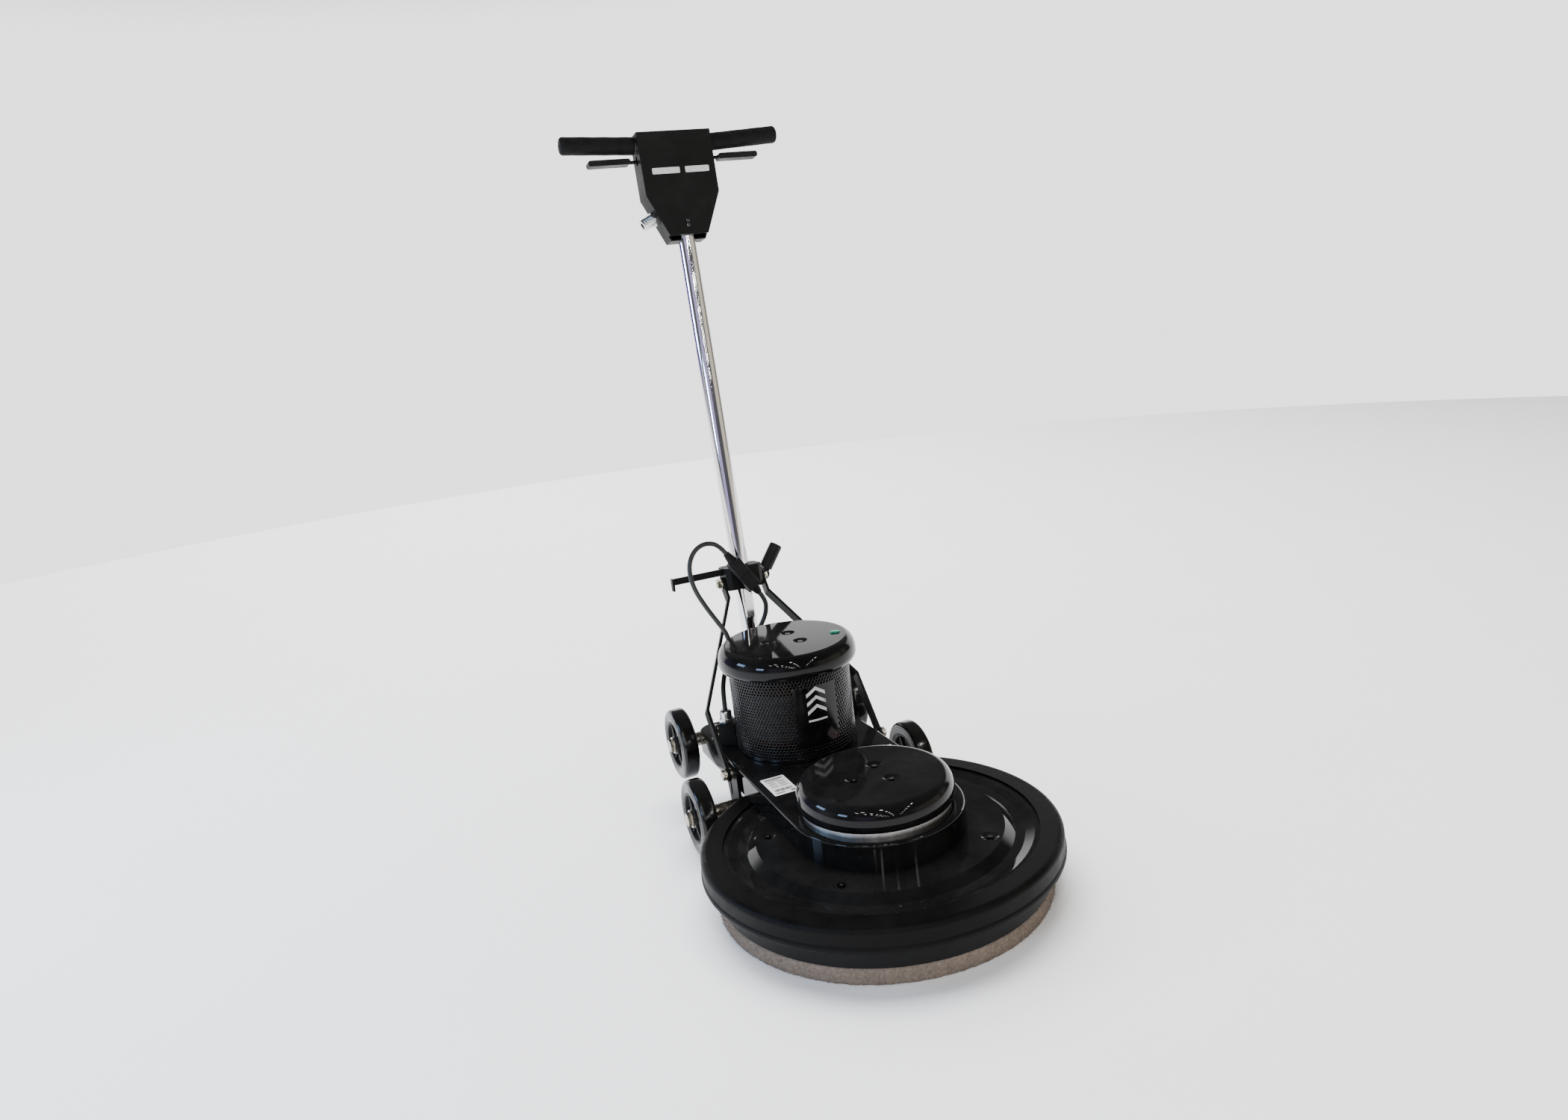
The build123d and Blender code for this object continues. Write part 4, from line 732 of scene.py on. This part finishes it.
CONNECTOR_TILT = math.radians(32.0)
BOOT_ROOT = 31
BOOT_ROOT_R, BOOT_TAPER = 9, 3.5
BOOT_RIBS = 5
plug_axis = Vector((-math.sin(CONNECTOR_TILT), 0, 0)) + UP_TUBE * math.cos(CONNECTOR_TILT)
connector_middle = on_stem(-8.6, -38, 246)
rib_parts = []
for start, end in ((32.5, 48), (-32.5, -44)):
    span = abs(end) - BOOT_ROOT + 2
    for k in range(BOOT_RIBS):
        where = start + (end - start) * k / (BOOT_RIBS - 1)
        radius = BOOT_ROOT_R - BOOT_TAPER * (abs(where) - BOOT_ROOT) / span
        rib = [(radius - 1.2, -0.8), (radius + 0.5, -0.6), (radius + 0.5, 0.6), (radius - 1.2, 0.8)]
        rib_parts.append(lathe(rib, connector_middle + plug_axis * where, plug_axis, 48))
place("boot_ribs", *merged(rib_parts), "plastic", "handle", "black_plastic")


# ---------------------------------------------------------------- screw recesses, drawn as painted shade
ARM_HALF_WIDTH, ARM_HALF_THICK, ARM_CORNER = 0.55, 0.12, 0.3


def crosses(y, z, ring_r, bearings, half, first_turn, turn_step):
    """Flat dark crosses of painted shade standing for the recesses on a ring of screws about (0,
    y), each turned a little further.
    """
    parts = []
    for k, degrees in enumerate(bearings):
        bearing = math.radians(degrees)
        centre = (ring_r * math.cos(bearing), y + ring_r * math.sin(bearing), z)
        turn = first_turn + turn_step * k
        a = Vector((math.cos(turn), math.sin(turn), 0))
        b = Vector((-math.sin(turn), math.cos(turn), 0))
        for along, across in ((a, b), (b, a)):
            parts.append(slab(
                centre, along, across, Z_AXIS,
                half, ARM_HALF_WIDTH, ARM_HALF_THICK, ARM_CORNER, 2,
            ))
    return parts


cross_parts = crosses(0, 180.55, 32, (60, 180, 300), 2.6, 0.4, 0.9)
cross_parts += crosses(MOTOR_Y, 318.55, 32, (60, 180, 300), 2.6, 0.4, 0.9)
cross_parts += crosses(0, 95.85, 168, (-135, -45, 25, 155), 3.2, 0.2, 1.1)
# Dark crosses lying on the screw heads: painted shade in place of hollow cross recesses.
place("screw_recess_painted_shade", *merged(cross_parts), "ink", "chassis", "zinc_steel")

# ---------------------------------------------------------------- floor, surroundings and light
floor_mat = surface("studio_floor", (0.93, 0.93, 0.93), 0.9, spec=0.05, grain=0.02, scale=30,
                    tint=(0.91, 0.91, 0.91), tint_scale=2)
FLOOR_R = 5.5
FLOOR_SIDES = 96
floor_turns = [2 * math.pi * k / FLOOR_SIDES for k in range(FLOOR_SIDES)]
floor_mesh = bpy.data.meshes.new("studio_floor")
floor_mesh.from_pydata(
    [(FLOOR_R * math.cos(a), FLOOR_R * math.sin(a), 0) for a in floor_turns],
    [], [tuple(range(FLOOR_SIDES))],
)
floor_mesh.materials.append(floor_mat)
floor = bpy.data.objects.new("studio_floor", floor_mesh)
scene.collection.objects.link(floor)

WALL = (2.3, 2.3, 2.3)
# Bright and dark upright bands round the studio, as (share of a turn, colour). The turn starts
# in front of the machine and goes by its left side, its back and its right side.
BANDS = (
    (0.000, (0.10, 0.10, 0.12)), (0.060, (0.12, 0.12, 0.14)), (0.090, (0.60, 0.52, 0.95)),
    (0.140, (0.60, 0.56, 0.86)), (0.170, (0.10, 0.09, 0.10)), (0.215, (0.12, 0.11, 0.12)),
    (0.260, (0.70, 0.70, 0.74)), (0.290, (0.70, 0.70, 0.74)), (0.330, (0.10, 0.06, 0.26)),
    (0.400, (0.16, 0.09, 0.40)), (0.425, WALL), (0.695, WALL), (0.710, (0.08, 0.07, 0.06)),
    (0.735, (0.10, 0.09, 0.08)), (0.762, (0.50, 0.48, 0.42)), (0.785, (0.20, 0.17, 0.14)),
    (0.800, (0.95, 0.88, 0.68)), (0.910, (0.85, 0.80, 0.66)), (0.940, (0.14, 0.13, 0.14)),
    (1.000, (0.10, 0.10, 0.12)),
)

world = bpy.data.worlds.new("studio")
scene.world = world
world.use_nodes = True
wt = world.node_tree
sky = wt.nodes["Background"]
make, link = wt.nodes.new, wt.links.new
coords = make("ShaderNodeTexCoord")
split = make("ShaderNodeSeparateXYZ")
link(coords.outputs["Generated"], split.inputs["Vector"])
turn = make("ShaderNodeMath")
turn.operation = "ARCTAN2"
link(split.outputs["X"], turn.inputs[0])
link(split.outputs["Y"], turn.inputs[1])
share = make("ShaderNodeMapRange")
share.inputs["From Min"].default_value = -math.pi
share.inputs["From Max"].default_value = math.pi
link(turn.outputs["Value"], share.inputs["Value"])
bands = make("ShaderNodeValToRGB")
stops = bands.color_ramp.elements
stops[0].color = (*BANDS[0][1], 1)
stops[1].color = (*BANDS[-1][1], 1)
for where, colour in BANDS[1:-1]:
    stops.new(where).color = (*colour, 1)
link(share.outputs["Result"], bands.inputs["Fac"])
# The bands fade out above the camera's view, and the floor's white goes on below the horizon.
rise = make("ShaderNodeValToRGB")
rise.color_ramp.elements[0].position = 0.255
rise.color_ramp.elements[0].color = (1, 1, 1, 1)
rise.color_ramp.elements[1].position = 0.37
rise.color_ramp.elements[1].color = (0.05, 0.05, 0.052, 1)
link(split.outputs["Z"], rise.inputs["Fac"])
shade = make("ShaderNodeMix")
shade.data_type = "RGBA"
shade.blend_type = "MULTIPLY"
shade.inputs["Factor"].default_value = 1.0
below = make("ShaderNodeMapRange")
below.inputs["From Min"].default_value = -0.06
below.inputs["From Max"].default_value = -0.01
link(split.outputs["Z"], below.inputs["Value"])
around = make("ShaderNodeMix")
around.data_type = "RGBA"
around.inputs["A"].default_value = (*WALL, 1)
link(below.outputs["Result"], around.inputs["Factor"])
link(bands.outputs["Color"], around.inputs["B"])
link(around.outputs["Result"], shade.inputs["A"])
link(rise.outputs["Color"], shade.inputs["B"])
link(shade.outputs["Result"], sky.inputs["Color"])
sky.inputs["Strength"].default_value = 1.0


def area(name, place_at, aim, size_x, size_y, power, color=(1, 1, 1), mirrored=True):
    """A rectangular lamp, in metres; one that isn't mirrored lights but isn't reflected."""
    data = bpy.data.lights.new(name, "AREA")
    data.shape = "RECTANGLE"
    data.size = size_x
    data.size_y = size_y
    data.energy = power
    data.color = color
    lamp = bpy.data.objects.new(name, data)
    lamp.location = place_at
    way = Vector(aim) - Vector(place_at)
    lamp.rotation_euler = way.to_track_quat("-Z", "Y").to_euler()
    lamp.visible_glossy = mirrored
    scene.collection.objects.link(lamp)


area("overhead", (0.4, 1.6, 5.2), (0, 0.6, 0), 5.0, 3.0, 560, mirrored=False)
area("far_floor", (0.0, 6.5, 5.0), (0.0, 6.5, 0), 9.0, 5.0, 1000, mirrored=False)
WINDOW_AIM, WINDOW_BLUE = (0, 0.0, 0.2), (0.42, 0.64, 1.0)
area("window_a", (-2.40, 0.95, 1.15), WINDOW_AIM, 0.70, 0.46, 26, WINDOW_BLUE)
area("window_b", (-2.50, -0.75, 0.90), WINDOW_AIM, 0.60, 0.36, 20, WINDOW_BLUE)
ROW_X = (-3.0, -2.2, -0.6, 1.6)
ROW_START, ROW_STEP, ROW_LAMPS, CEILING = -2.0, 1.35, 9, 2.9
for row, x in enumerate(ROW_X):
    for k in range(ROW_LAMPS):
        y = ROW_START - ROW_STEP * k
        area(f"row_{row}_{k}", (x, y, CEILING), (x, y, 0), 0.12, 0.42, 16.0, (1.0, 0.97, 0.93))
